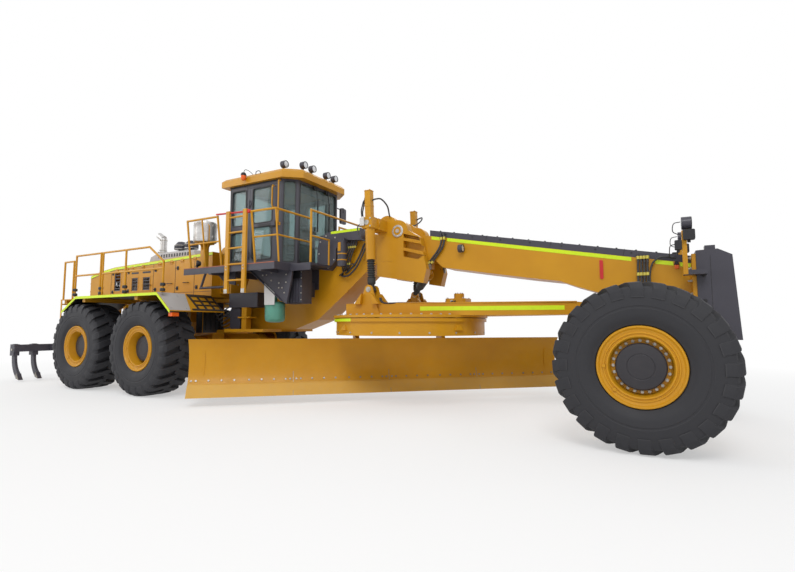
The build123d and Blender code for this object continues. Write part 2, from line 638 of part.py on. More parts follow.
def knuckle(side):
    shapes = [round_z(FRONT_AXLE_X, KINGPIN_Y, (600, 1290), KINGPIN_RADIUS),
              round_z(FRONT_AXLE_X, KINGPIN_Y, (741, 1169), 120),
              round_y(FRONT_AXLE_X, (KINGPIN_Y, TRACK_HALF + 125 - SEAT_GAP), AXLE_Z, 125),
              deck_plate([(FRONT_AXLE_X + 60, KINGPIN_Y - 60), (FRONT_AXLE_X + 60, KINGPIN_Y + 60),
                          (FRONT_AXLE_X - 380, KINGPIN_Y - 20), (FRONT_AXLE_X - 380, KINGPIN_Y - 130)],
                         (600, 645))]
    body = fuse(shapes)
    return body if side > 0 else mirror(body, about=Plane.XZ)


# ------------------------------------------------------------------ cab
def inset(plan, depth):
    """The cab's plan drawn in by a wall's thickness."""
    return offset(make_face(Polyline(*plan, close=True)), amount=-depth)


def cab_walls():
    outer = make_face(Polyline(*CAB_PLAN, close=True))
    height = CAB_EAVES - CAB_FLOOR
    ring = extrude(outer, amount=height) - extrude(inset(CAB_PLAN, CAB_WALL), amount=height)
    return Pos(0, 0, CAB_FLOOR) * ring


def window_cuts():
    """Openings for the fixed glass: quarter lights, angled corners, windscreen and rear light."""
    low, high = WINDOW_LOW, WINDOW_HIGH
    cuts = both_sides([box(x, (CAB_HALF - 200, CAB_HALF + 100), z) for x, z in QUARTER_LIGHTS])
    cuts.append(box((CAB_FRONT - 130, CAB_FRONT + 130), (-CAB_FRONT_HALF + 60, CAB_FRONT_HALF - 60),
                    (low, high)))
    cuts.append(box((CAB_REAR - 130, CAB_REAR + 170), (-CAB_HALF + 120, CAB_HALF - 120), (3050, high)))
    corner = Vector((CAB_CORNER + CAB_FRONT) / 2, (CAB_HALF + CAB_FRONT_HALF) / 2)
    turn = math.degrees(math.atan2(CAB_FRONT - CAB_CORNER, CAB_HALF - CAB_FRONT_HALF))
    pane = Pos(corner.X, corner.Y, (low + high) / 2) * Rot(0, 0, 90 - turn)
    cuts += both_sides([pane * Box(200, 230, high - low)])
    return fuse(cuts)


def hinge_knuckle(low, high, way):
    """Hinge barrel beside the door's rear edge with its leaf plate (way 1 door, -1 shell)."""
    barrel = round_z(HINGE_X, HINGE_Y, (low, high), HINGE_RADIUS)
    plate = box(tuple(sorted((HINGE_X, HINGE_X + way * 55))), (CAB_HALF, HINGE_Y), (low, high))
    return fuse([barrel, plate])


def door_cut():
    return box((DOOR_REAR, DOOR_FRONT), (CAB_HALF - 100, CAB_HALF + 50), (DOOR_SILL, DOOR_HEAD))


def cab_shell():
    walls = cab_walls() - window_cuts()
    walls -= fuse(both_sides([door_cut()]))
    floor = Pos(0, 0, CAB_FLOOR) * extrude(make_face(Polyline(*CAB_PLAN, close=True)), amount=50)
    knuckles = []
    for z in HINGE_HEIGHTS:
        knuckles += [hinge_knuckle(z - 50, z, -1), hinge_knuckle(z + 50, z + 100, -1)]
    return fuse([walls, floor] + both_sides(knuckles))


def cab_glass():
    """Fixed panes, set in the middle of the walls."""
    middle = CAB_WALL / 2
    band = extrude(inset(CAB_PLAN, middle - 5), amount=CAB_EAVES - CAB_FLOOR)
    band -= extrude(inset(CAB_PLAN, middle + 5), amount=CAB_EAVES - CAB_FLOOR)
    panes = (Pos(0, 0, CAB_FLOOR) * band) & window_cuts()
    return [Solid(solid.wrapped) for solid in panes.solids()]


def cab_roof():
    """Roof cap with an overhang all round and a domed top."""
    rim = [(CAB_REAR - 180, -CAB_HALF - 90), (CAB_CORNER + 90, -CAB_HALF - 90),
           (CAB_FRONT + 170, -CAB_FRONT_HALF - 40), (CAB_FRONT + 170, CAB_FRONT_HALF + 40),
           (CAB_CORNER + 90, CAB_HALF + 90), (CAB_REAR - 180, CAB_HALF + 90)]
    slab = Pos(0, 0, CAB_EAVES) * extrude(make_face(Polyline(*rim, close=True)), amount=190)
    return chamfer(slab.faces().sort_by(Axis.Z)[-1].edges(), 60, 60)


def door_leaf(side):
    """Door with an upper and a lower window and its latch handle between them."""
    gap = DOOR_GAP
    x = (DOOR_REAR + gap, DOOR_FRONT - gap)
    leaf = box(x, (CAB_HALF - 50, CAB_HALF), (DOOR_SILL + gap, DOOR_HEAD - gap))
    for span, height in DOOR_LIGHTS:
        leaf -= box(span, (CAB_HALF - 90, CAB_HALF + 40), height)
    handle = box((x[1] - 160, x[1] - 60), (CAB_HALF - 5, CAB_HALF + 40), (3440, 3540))
    knuckles = [hinge_knuckle(z + SEAT_GAP, z + 50 - SEAT_GAP, 1) for z in HINGE_HEIGHTS]
    body = fuse([leaf, handle] + knuckles)
    return body if side > 0 else mirror(body, about=Plane.XZ)


def door_pane(side):
    """The door's two panes, set in the middle of its frame."""
    fit = 0.5
    panes = []
    for x, z in DOOR_LIGHTS:
        pane = box((x[0] + fit, x[1] - fit), (CAB_HALF - 30, CAB_HALF - 20), (z[0] + fit, z[1] - fit))
        panes.append(pane if side > 0 else mirror(pane, about=Plane.XZ))
    return panes


def cab_interior():
    """Seat on its pedestal and the front console."""
    base = CAB_FLOOR + 50 + SEAT_GAP
    seat = [box((-500, 0), (-260, 260), (base + 400, base + 540)),
            side_plate([(-500, base + 400), (-380, base + 400), (-480, base + 1180),
                        (-600, base + 1180)], (-250, 250)),
            box((-400, -120), (-170, 170), (base, base + 410))]
    for side in (-1, 1):
        seat.append(box((-420, 0), tuple(sorted((side * 255, side * 380))), (base + 560, base + 640)))
        seat.append(box((-380, -250), tuple(sorted((side * 255, side * 330))), (base + 420, base + 570)))
    console = [side_plate([(300, base), (440, base), (420, base + 700), (250, base + 860),
                           (230, base + 820)], (-180, 180))]
    return [fuse(seat), fuse(console)]


# ------------------------------------------------------------------ platforms and trim
def platforms():
    """Walkways round the cab with their edge channels, bearers, gussets and rear step."""
    z = (PLATFORM_TOP - PLATFORM_THICK, PLATFORM_TOP)
    edge = PLATFORM_TOP - PLATFORM_EDGE
    deck = deck_plate([(PLATFORM_REAR, 960), (-1120, 960), (-1120, 905), (PLATFORM_FRONT - 200, 905),
                       (PLATFORM_FRONT - 200, 320), (975, 320), (975, 480), (1340, 480), (1340, 1120),
                       (PLATFORM_FRONT, 1120), (PLATFORM_FRONT, PLATFORM_OUTER),
                       (PLATFORM_REAR, PLATFORM_OUTER)], z)
    channel = [box((PLATFORM_REAR, PLATFORM_FRONT), (PLATFORM_OUTER - 15, PLATFORM_OUTER), (edge, z[1])),
               box((PLATFORM_FRONT - 15, PLATFORM_FRONT), (1120, PLATFORM_OUTER), (edge, z[1])),
               box((PLATFORM_FRONT - 15, 1340), (1105, 1120), (edge, z[1]))]
    bearer = [box((x, x + 80), (FRAME_HALF, PLATFORM_OUTER - 10), (2440, z[0] + 5)) for x in (-900, 450)]
    gusset = side_plate([(-255, z[0] + 5), (900, z[0] + 5), (860, 2300), (760, 1840), (655, 1880)],
                        (1060, 1100))
    wedge = side_plate([(-1250, z[0] + 5), (-650, z[0] + 5), (-650, 2256), (-937, 2305)], (1060, 1090))
    step = rail([(-1265, 1300, z[0] + 5), (-1424, 1300, 2205), (-711, 1300, 2205),
                 (-726, 1300, z[0] + 5)], 25)
    return both_sides([fuse([deck, gusset, wedge, step] + channel + bearer)])


def handrail_y(z):
    """How far out a leaning handrail post stands at a height."""
    rise = (z - PLATFORM_TOP) / (HANDRAIL_TOP - PLATFORM_TOP)
    return HANDRAIL_FOOT_Y + (HANDRAIL_TOP_Y - HANDRAIL_FOOT_Y) * rise


def leaning_post(x, top_y=HANDRAIL_TOP_Y):
    """Handrail post that leans outward from the deck."""
    return strut((x, HANDRAIL_FOOT_Y, POST_FOOT), (x, top_y, HANDRAIL_TOP), MID_RAIL_RADIUS)


def platform_rails():
    """Handrails round the walkways and the flat-sided ladder up each side."""
    foot, top, mid = POST_FOOT, HANDRAIL_TOP, 3110
    foot_y, top_y, mid_y = HANDRAIL_FOOT_Y, HANDRAIL_TOP_Y, handrail_y(mid)
    tail = PLATFORM_REAR + 30
    rear = [rail([(tail, foot_y, foot), (tail, top_y, top), (-700, top_y, top), (-690, foot_y, foot)]),
            rail([(tail, mid_y, mid), (-695, mid_y, mid)], MID_RAIL_RADIUS), leaning_post(-1163)]
    bend, corner_y = 485, top_y - 20
    front = [rail([(230, foot_y, foot), (230, top_y, top), (830, corner_y, top), (830, bend, top),
                   (830, bend, PLATFORM_TOP)]),
             rail([(230, mid_y, mid), (830, mid_y - 10, mid), (830, bend, mid)], MID_RAIL_RADIUS),
             leaning_post(830, corner_y)]
    nose = [rail([(1310, -1080, PLATFORM_TOP), (1310, -1080, top), (1310, 1080, top),
                  (1310, 1080, PLATFORM_TOP)])]
    nose += both_sides([rail([(1310, 520, PLATFORM_TOP), (1310, 520, mid), (1310, 1080, mid)],
                             MID_RAIL_RADIUS)])
    return both_sides([fuse(rear), fuse(front), side_ladder()]) + [fuse(nose)]


def side_ladder():
    """Rungs between two flat strings that stand against the platform's edge."""
    y = (PLATFORM_OUTER + SEAT_GAP, PLATFORM_OUTER + 45)
    strings = [box((x, x + STRING_WIDTH), y, (2040, 3650)) for x in LADDER_STRINGS]
    span = (LADDER_STRINGS[0] + STRING_WIDTH - 5, LADDER_STRINGS[1] + 5)
    rungs = [round_x(span, PLATFORM_OUTER + 23, z, 18) for z in RUNG_HEIGHTS]
    return fuse(strings + rungs)


def canisters():
    """Tank on its stand on the rear platform and the receiver that hangs under the cab."""
    x, y = -1464, -1200
    tank = round_z(x, y, (3180, 3620), 235)
    cap = round_z(x, y, (3610, 3666), 60)
    stand = [box((x - 140, x + 140), (y - 140, y + 140), (3150, 3185)),
             box((x - 60, x + 60), (y - 60, y + 60), (PLATFORM_TOP + SEAT_GAP, 3155)),
             box((x - 110, x + 110), (y - 110, y + 110), (PLATFORM_TOP + SEAT_GAP, PLATFORM_TOP + 20))]
    under = PLATFORM_TOP - PLATFORM_THICK - SEAT_GAP
    receiver = [round_z(295, -910, (1480, 1904), 195), box((265, 325), (-940, -880), (1890, under))]
    return [fuse([tank, cap] + stand), fuse(receiver)]


def side_fairings():
    """Dark covers by the gooseneck with their filters, ribbed cabinets, tanks and cross bolsters."""
    inner = FRAME_HALF + SEAT_GAP
    cover = side_plate([(985, 2557), (985, 2910), (1020, 3150), (1140, 3235), (1300, 3290), (2010, 3300),
                        (2042, 3060), (1700, 3088), (1530, 3087), (1445, 2919), (1440, 2700),
                        (1250, 2520)], (inner, 470))
    cover = fuse([cover, box((1535, 1700), (350, 560), (3050, 3110)), round_z(1617, 500, (2570, 3060), 95)])
    deck = PLATFORM_TOP - PLATFORM_THICK
    cabinet = [box((540, 960), (600, 900), (1850, deck - SEAT_GAP)),
               box((700, 800), (inner, 620), (2000, 2300))]
    cabinet += [box((x, x + 25), (890, 925), (1870, 2300)) for x in steps(560, 930, 75)]
    tank = box((-1250, -940), (330, 650), (TANK_SHELF[1] + SEAT_GAP, BOLSTER_HEIGHT[0] - 10))
    tank = fillet(tank.edges().filter_by(Axis.Y), 60)
    bolster = box((-1240, -400), (inner, 700), BOLSTER_HEIGHT)
    return both_sides([cover, fuse(cabinet), tank, bolster])


def lamp(x, y, z, radius=75.0):
    """Round work lamp that looks forward."""
    return fuse([round_x((x - 60, x + 40), y, z, radius), round_z(x - 20, y, (z - 150, z), 14)])


def work_lamps():
    roof = CAB_EAVES + 190
    shapes = []
    for x, y in ((CAB_FRONT + 20, 250), (CAB_FRONT + 20, 530), (CAB_CORNER - 40, CAB_HALF - 130)):
        shapes.append(lamp(x, y, roof + 150 + SEAT_GAP))
    x = LAMP_POST_X
    post = [box((x, x + 50), (560, 620), (2094, 2700)),
            box((x, x + 270), (NOSE_HALF + SEAT_GAP, 620), (2100, 2160)),
            round_x((x, x + 110), 590, 2800, 85)]
    shapes.append(fuse(post + [round_z(x + 25, 590, (2690, 2800), 15)]))
    boom = [round_x((3990, 4060), FRAME_HALF + 80, 2748, 70),
            round_y(3990, (FRAME_HALF + SEAT_GAP, FRAME_HALF + 90), 2748, 18)]
    shapes.append(fuse(boom))
    return both_sides(shapes)


def mirror_left():
    """Rear-view mirror on its arm from the cab's corner."""
    arm = rail([(CAB_CORNER - 40, CAB_HALF + SEAT_GAP, 4220), (CAB_CORNER - 30, 1290, 4220),
                (CAB_CORNER - 30, 1290, 4270)], 14)
    head = box((CAB_CORNER - 60, CAB_CORNER - 15), (1190, 1410), (3880, 4260))
    return fuse([arm, fillet(head.edges().filter_by(Axis.X), 35)])


# ------------------------------------------------------------------ drawbar and circle
def drawbar():
    """A-shaped drawbar with its ball at the front and the round table over the circle."""
    z = (TABLE_TOP - 10, BEAM_TOP)
    outline = deck_plate([(5930, -110), (5930, 110), (3250, 960), (2100, 1040), (2100, -1040),
                          (3250, -960)], z)
    outline -= deck_plate([(5300, 0), (3900, 420), (3900, -420)], (z[0] - 10, z[1] + 10))
    outline -= round_z(CIRCLE_X, 0, (z[0] - 10, z[1] + 10), 900)
    table = round_z(CIRCLE_X, 0, (TABLE_BOTTOM, TABLE_TOP), CIRCLE_OUTER + 20)
    table -= round_z(CIRCLE_X, 0, (TABLE_BOTTOM - 10, TABLE_TOP + 10), 900)
    outline -= round_z(PINION_X, 0, (z[0] - 10, z[1] + 10), PINION_SHAFT + SEAT_GAP)
    table -= round_z(PINION_X, 0, (TABLE_BOTTOM - 10, TABLE_TOP + 10), PINION_SHAFT + SEAT_GAP)
    ball = Pos(BALL_X, 0, BALL_Z) * Sphere(BALL_RADIUS)
    neck = round_x((5900, BALL_X), 0, BALL_Z, 60)
    shapes = [outline, table, ball, neck]
    for k in range(6):
        angle = math.radians(30 + 60 * k)
        pad = Pos(CIRCLE_X + 1330 * math.cos(angle), 1330 * math.sin(angle), 0)
        shapes.append(pad * box((-70, 70), (-70, 70), (CIRCLE_TOP + SEAT_GAP, TABLE_BOTTOM + 5)))
    cheeks = [lift_cheek((LIFT_Y - 117, LIFT_Y - 82)), lift_cheek((LIFT_Y + 82, LIFT_Y + 117))]
    x, y, height = SHIFT_END
    shapes += [Pos(x, y, height) * Sphere(SHIFT_BALL),
               round_y(x, (y, LIFT_Y - 100), height, 32)]
    return fuse(shapes + both_sides(cheeks))


def lift_cheek(y):
    plate = side_plate([(LIFT_EYE_X - 230, TABLE_TOP - 5), (LIFT_EYE_X - 75, LIFT_EYE_Z + 20),
                        (LIFT_EYE_X + 75, LIFT_EYE_Z + 20), (LIFT_EYE_X + 230, TABLE_TOP - 5)], y)
    return fuse([plate, round_y(LIFT_EYE_X, y, LIFT_EYE_Z, 80)])


def toothed(teeth, root, tip, root_share, tip_share):
    """Outline of a straight-flanked gear, its first tooth on the X axis."""
    pitch = 2 * math.pi / teeth
    points = []
    for k in range(teeth):
        for share, radius in ((-root_share, root), (-tip_share, tip), (tip_share, tip), (root_share, root)):
            angle = pitch * (k + share)
            points.append((radius * math.cos(angle), radius * math.sin(angle)))
    return points


def circle_motor():
    """Gear case on the drawbar that drives the circle's pinion."""
    case = box((PINION_X - 205, PINION_X + 175), (-190, 190), (BEAM_TOP + SEAT_GAP, 1900))
    case = chamfer(case.edges().filter_by(Axis.Z), 50)
    return fuse([case, round_z(PINION_X, 0, (1895, 1990), 90)])


def circle_pinion():
    """Drive pinion on its shaft, in mesh with the circle's inner teeth."""
    outline = toothed(PINION_TEETH, PINION_ROOT, PINION_TIP, 0.29, 0.10)
    gear = Rot(0, 0, 180 / PINION_TEETH) * deck_plate(outline, (CIRCLE_BOTTOM + 20, CIRCLE_TOP - 20))
    return fuse([Pos(PINION_X, 0, 0) * gear, round_z(PINION_X, 0, (CIRCLE_TOP - 30, 1590), PINION_SHAFT)])


def to_blade(shape):
    """From the blade's own frame, square across at the circle's centre, to where it stands."""
    return Pos(CIRCLE_X, 0, 0) * Rot(0, 0, BLADE_TURN) * shape


def circle():
    """Flanged ring with inner teeth and the two arms that reach down behind the moldboard."""
    band = round_z(CIRCLE_X, 0, (CIRCLE_BOTTOM, CIRCLE_TOP), CIRCLE_BAND)
    flange = round_z(CIRCLE_X, 0, (CIRCLE_TOP - 60, CIRCLE_TOP), CIRCLE_OUTER)
    teeth = toothed(CIRCLE_TEETH, CIRCLE_ROOT, CIRCLE_TIP, 0.27, 0.14)
    ring = fuse([band, flange])
    ring -= Pos(CIRCLE_X, 0, 0) * deck_plate(teeth, (CIRCLE_BOTTOM - 10, CIRCLE_TOP + 10))
    arm = side_plate([(-1100, CIRCLE_BOTTOM + 5), (-780, CIRCLE_BOTTOM + 5), (-590, 1060),
                      (-575, 340), (-710, 340), (-985, 900)], (ARM_INNER, ARM_INNER + 80))
    arm -= round_y(TIP_X, (ARM_INNER - 10, ARM_INNER + 100), TIP_Z, 45)
    return fuse([ring] + [to_blade(piece) for piece in both_sides([arm])])


def blade_back(z):
    """Where the moldboard's back face stands at a height, in the blade's own frame."""
    rise = z - BLADE_CENTRE_Z
    return BLADE_CENTRE_X - math.sqrt((BLADE_ARC + BLADE_PLATE) ** 2 - rise ** 2)


def blade_face(z):
    """Where the moldboard's front face stands at a height."""
    rise = z - BLADE_CENTRE_Z
    return BLADE_CENTRE_X - math.sqrt(BLADE_ARC ** 2 - rise ** 2)


def nearest_middle(low, high):
    """The height in a span at which the moldboard bulges furthest back."""
    return min((low, high), key=lambda z: abs(z - BLADE_CENTRE_Z))


def rail_back(low, high):
    """Rear face of a moldboard slide rail."""
    return blade_back(nearest_middle(low, high)) - 55


def tilt_frame():
    """Frame that tips on the circle's arms and guides the moldboard's rails."""
    cheek = side_plate([(TIP_X - 70, TIP_Z - 70), (TIP_X + 50, TIP_Z - 70), (TIP_X + 60, 1075),
                        (TIP_X - 70, 1075)], (ARM_INNER - 70, ARM_INNER - 10))
    shapes = both_sides([cheek])
    shapes.append(round_y(TIP_X, (-ARM_INNER - 85, ARM_INNER + 85), TIP_Z, 45 - SEAT_GAP))
    shapes.append(round_y(TIP_X, (-ARM_INNER + 60, ARM_INNER - 60), 1000, 55))
    for low, high in RAIL_HEIGHTS:
        reach = blade_back(nearest_middle(low - 35, high + 35)) - 8
        back = rail_back(low, high) - SEAT_GAP
        shoe = box((TIP_X, reach), (ARM_INNER - 160, ARM_INNER - 10), (low - 35, high + 35))
        shoe -= box((back, reach + 10), (0, ARM_INNER), (low - SEAT_GAP, high + SEAT_GAP))
        shapes += both_sides([shoe])
    return to_blade(fuse(shapes))


def moldboard():
    """Curved blade plate with its two slide rails and end plates."""
    half = BLADE_LENGTH / 2
    y = (BLADE_SHIFT - half, BLADE_SHIFT + half)
    outer = round_y(BLADE_CENTRE_X, y, BLADE_CENTRE_Z, BLADE_ARC + BLADE_PLATE)
    outer -= round_y(BLADE_CENTRE_X, (y[0] - 10, y[1] + 10), BLADE_CENTRE_Z, BLADE_ARC)
    plate = outer & box((-800, BLADE_CENTRE_X), y, (BLADE_FOOT, BLADE_CROWN))
    shapes = [plate]
    for low, high in RAIL_HEIGHTS:
        front = min(blade_back(low), blade_back(high)) + 25
        shapes.append(box((rail_back(low, high), front),
                          (BLADE_SHIFT - RAIL_HALF, BLADE_SHIFT + RAIL_HALF), (low, high)))
    return to_blade(fuse(shapes))


def cutting_edge():
    """Straight wearing plate bolted along the foot of the moldboard."""
    half = BLADE_LENGTH / 2
    y = (BLADE_SHIFT - half, BLADE_SHIFT + half)
    top = BLADE_FOOT + 70
    slope = (blade_face(BLADE_FOOT) - blade_face(top)) / 70
    lap = blade_face(top) + 0.5
    foot = lap + slope * (top - EDGE_BOTTOM)
    face = side_plate([(lap, top), (foot, EDGE_BOTTOM), (foot + 30, EDGE_BOTTOM),
                       (lap + 20, top + 14)], y)
    return to_blade(face)


# ------------------------------------------------------------------ cylinders
def lift_line():
    """Direction of the lift cylinders, from the trunnion to the eye."""
    span = Vector(LIFT_EYE_X - LIFT_X, 0, LIFT_EYE_Z - LIFT_Z)
    return span.normalized(), span.length


def along_lift(start, end, radius, y=LIFT_Y):
    """Round bar on the lift cylinder's axis between two distances from the trunnion."""
    way, _ = lift_line()
    a = Vector(LIFT_X, y, LIFT_Z) + way * start
    b = Vector(LIFT_X, y, LIFT_Z) + way * end
    return strut(tuple(a), tuple(b), radius)


def lift_barrel(side):
    """Barrel in its trunnion collar, with the square guard above it."""
    way, _ = lift_line()
    turn = Pos(LIFT_X, LIFT_Y, LIFT_Z) * Rot(0, math.degrees(math.atan2(-way.X, -way.Z)), 0)
    guard = turn * box((-58, 58), (-58, 58), (90, 590))
    collar = turn * box((-100, 100), (-100, 100), (-100, 100))
    body = fuse([guard, collar, along_lift(60, 665, BARREL_RADIUS)])
    body -= along_lift(-40, 700, BELLOWS_RADIUS + SEAT_GAP)
    body -= along_lift(-560, 0, LIFT_ROD_RADIUS + SEAT_GAP)
    return body if side > 0 else mirror(body, about=Plane.XZ)


def lift_rod(side):
    """Rod with its rubber bellows and the eye between the drawbar's cheeks."""
    _, length = lift_line()
    shapes = [along_lift(-150, 400, LIFT_ROD_RADIUS), along_lift(330, length - 95, BELLOWS_RADIUS),
              along_lift(length - 100, length, 50),
              round_y(LIFT_EYE_X, (LIFT_Y - 60, LIFT_Y + 60), LIFT_EYE_Z, 62)]
    body = fuse(shapes)
    return body if side > 0 else mirror(body, about=Plane.XZ)


def along_shift(start, end, radius):
    """Round bar on the centre-shift cylinder's axis between two distances from its top ball."""
    top, foot = Vector(*SHIFT_TOP), Vector(*SHIFT_END)
    way = (foot - top).normalized()
    return strut(tuple(top + way * start), tuple(top + way * end), radius)


def shift_length():
    return (Vector(*SHIFT_END) - Vector(*SHIFT_TOP)).length


def shift_barrel():
    ball = Pos(*SHIFT_TOP) * Sphere(SHIFT_BALL)
    body = fuse([ball, along_shift(0, 120, 34), along_shift(110, 760, SHIFT_BARREL)])
    return body - along_shift(160, 800, SHIFT_BOOT + SEAT_GAP)


def shift_rod():
    """Booted rod whose flat cup faces the drawbar's ball."""
    end = shift_length() - SHIFT_BALL - 8
    return fuse([along_shift(520, end - 110, SHIFT_BOOT), along_shift(end - 120, end - 30, 32),
                 along_shift(end - 35, end, 48)])


# ------------------------------------------------------------------ nodes
def nodes():
    """Every node's name and shape."""
    table = {
        "rear_frame": rear_frame(), "tandem_cases": tandem_cases(), "engine_block": engine_block(),
        "hood": hood(), "hood_grilles": hood_grilles(), "hood_cowl": hood_cowl(),
        "service_cabinet": service_cabinet(), "mirror_left": mirror_left(), "fenders": fenders(),
        "rear_rails": rear_rails(), "exhaust_stack": exhaust_stack(), "air_cleaners": air_cleaners(),
        "ripper_links": ripper_links(), "ripper_beam": ripper_beam(),
        "main_frame": main_frame(), "boom_cover": boom_cover(), "nose_box": nose_box(),
        "front_axle": front_axle(), "cab_shell": cab_shell(), "cab_glass": cab_glass(),
        "cab_roof": cab_roof(), "cab_interior": cab_interior(), "platforms": platforms(),
        "platform_rails": platform_rails(), "canisters": canisters(),
        "side_fairings": side_fairings(), "work_lamps": work_lamps(),
        "drawbar": drawbar(), "circle_motor": circle_motor(), "circle_pinion": circle_pinion(),
        "circle": circle(), "tilt_frame": tilt_frame(), "moldboard": moldboard(),
        "cutting_edge": cutting_edge(), "shift_barrel": shift_barrel(), "shift_rod": shift_rod(),
    }
    rubber = tyre()
    for name, side in (("right", -1), ("left", 1)):
        table[f"door_{name}"] = door_leaf(side)
        table[f"door_glass_{name}"] = door_pane(side)
        table[f"lean_bracket_{name}"] = lean_bracket(side)
        table[f"knuckle_{name}"] = knuckle(side)
        table[f"lift_barrel_{name}"] = lift_barrel(side)
        table[f"lift_rod_{name}"] = lift_rod(side)
        for place, x, rim in (("rear", TANDEM_X - TANDEM_PITCH / 2, rear_rim),
                              ("mid", TANDEM_X + TANDEM_PITCH / 2, rear_rim),
                              ("front", FRONT_AXLE_X, front_rim)):
            table[f"tyre_{place}_{name}"] = placed_wheel(rubber, x, side)
            table[f"rim_{place}_{name}"] = placed_wheel(rim(), x, side)
    return table


def main():
    os.makedirs("parts", exist_ok=True)
    for name, shape in nodes().items():
        if isinstance(shape, list):
            shape = Compound(children=shape)
        export_step(shape, f"parts/{name}.step")


main()
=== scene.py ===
"""Looks of the mining motor grader: paint, rubber, glass, treads, rims, hoses, rails and lamps.

Metres, in the same frame as the CAD: X forward, Y to the left, Z up, the ground at zero.
"""

import math

import bmesh
import bpy
from mathutils import Matrix, Vector


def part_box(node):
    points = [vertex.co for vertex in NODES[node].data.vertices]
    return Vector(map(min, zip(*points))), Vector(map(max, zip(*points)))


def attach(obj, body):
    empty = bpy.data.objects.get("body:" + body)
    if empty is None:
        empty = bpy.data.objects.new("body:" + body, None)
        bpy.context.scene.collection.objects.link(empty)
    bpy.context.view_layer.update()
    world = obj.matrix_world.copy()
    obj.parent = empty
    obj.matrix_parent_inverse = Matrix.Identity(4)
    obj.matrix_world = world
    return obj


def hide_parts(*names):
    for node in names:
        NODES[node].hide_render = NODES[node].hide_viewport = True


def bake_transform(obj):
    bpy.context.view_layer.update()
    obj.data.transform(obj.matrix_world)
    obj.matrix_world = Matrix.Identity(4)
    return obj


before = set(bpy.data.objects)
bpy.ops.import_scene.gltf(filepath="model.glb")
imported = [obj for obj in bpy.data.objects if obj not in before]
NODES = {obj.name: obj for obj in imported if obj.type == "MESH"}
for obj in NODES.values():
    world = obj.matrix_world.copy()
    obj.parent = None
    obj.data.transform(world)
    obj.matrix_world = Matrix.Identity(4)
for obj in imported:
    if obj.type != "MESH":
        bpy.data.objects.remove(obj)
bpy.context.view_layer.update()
SIDES = (("right", -1), ("left", 1))

# Directions, the corners round a centre, and the six wheels
OUT, UP, AHEAD, ACROSS = (0, -1, 0), (0, 0, 1), (1, 0, 0), (0, 1, 0)
CORNERS = ((-1, -1), (-1, 1), (1, 1), (1, -1))
WHEELS = [(axle, side) for axle in ("rear", "mid", "front") for side, _ in SIDES]


# ------------------------------------------------------------------ shader maths
class Signal:
    """A socket that can be used in Python expressions."""

    def __init__(self, finish, socket):
        self.finish = finish
        self.socket = socket

    def math(self, operation, *others):
        return self.finish.math(operation, self, *others)

    def __add__(self, other):
        return self.math("ADD", other)

    __radd__ = __add__

    def __mul__(self, other):
        return self.math("MULTIPLY", other)

    __rmul__ = __mul__

    def __sub__(self, other):
        return self.math("SUBTRACT", other)

    def __rsub__(self, other):
        return self.finish.math("SUBTRACT", other, self)

    def __truediv__(self, other):
        return self.math("DIVIDE", other)


class Finish:
    """A procedural material on one Principled shader."""

    def __init__(self, name, **constants):
        self.material = bpy.data.materials.new(name)
        self.material.use_nodes = True
        self.tree = self.material.node_tree
        self.shader = self.tree.nodes["Principled BSDF"]
        for socket, value in constants.items():
            self.shader.inputs[socket.replace("_", " ")].default_value = value

    def node(self, kind, settings=None, out=0, **inputs):
        """Any node: its type, its settings, and its sockets' values or links."""
        made = self.tree.nodes.new("ShaderNode" + kind)
        for key, value in (settings or {}).items():
            if key == "stops":
                self.set_stops(made.color_ramp, value)
            else:
                setattr(made, key, value)
        for key, value in inputs.items():
            self.feed(self.find_input(made, key), value)
        return Signal(self, made.outputs[out])

    @staticmethod
    def find_input(made, key):
        """Input by its name, or by its place when the key is in{place}."""
        if key.startswith("in") and key[2:].isdigit():
            return made.inputs[int(key[2:])]
        return made.inputs[key.replace("_", " ")]

    @staticmethod
    def set_stops(ramp, stops):
        while len(ramp.elements) < len(stops):
            ramp.elements.new(0.5)
        for element, (place, colour) in zip(ramp.elements, stops):
            element.position = place
            element.color = colour

    def feed(self, socket, value):
        if isinstance(value, Signal):
            self.tree.links.new(value.socket, socket)
        else:
            socket.default_value = value

    def math(self, operation, *values):
        inputs = {f"in{place}": value for place, value in enumerate(values)}
        return self.node("Math", {"operation": operation}, **inputs)

    def clamp(self, value):
        return self.node("Clamp", in0=value)

    def mix(self, amount, first, second):
        """Colour between two colours."""
        settings = {"data_type": "RGBA"}
        return self.node("Mix", settings, out=2, in0=amount, in6=first, in7=second)

    def place(self):
        """Position in the row frame, which the piece carries in its own coordinates."""
        return self.node("TexCoord", out=3)

    def axes(self):
        split = self.node("SeparateXYZ", in0=self.place())
        outputs = split.socket.node.outputs
        return [Signal(self, output) for output in outputs]

    def noise(self, scale, detail=4.0, rough=0.55, vector=None):
        return self.node("TexNoise", in0=vector or self.place(), Scale=scale, Detail=detail, Roughness=rough)

    def ramp(self, value, *stops):
        """Grey ramp between (place, level) stops."""
        stops = [(place, (level, level, level, 1.0)) for place, level in stops]
        return self.node("ValToRGB", {"stops": stops}, in0=value)

    def edges(self, radius=0.012):
        """About 1 on sharp edges, 0 on flats."""
        bevel = self.node("Bevel", {"samples": 4}, Radius=radius)
        normal = self.node("NewGeometry", out=1)
        close = self.node("VectorMath", {"operation": "DOT_PRODUCT"}, out=1, in0=bevel, in1=normal)
        return self.clamp((1 - close) * 6)

    def bump(self, height, strength, distance):
        return self.node("Bump", Strength=strength, Distance=distance, Height=height)

    def set(self, **links):
        for socket, value in links.items():
            self.feed(self.shader.inputs[socket.replace("_", " ")], value)
        return self.material


def rgb(red, green, blue):
    """Opaque colour."""
    return (red, green, blue, 1.0)


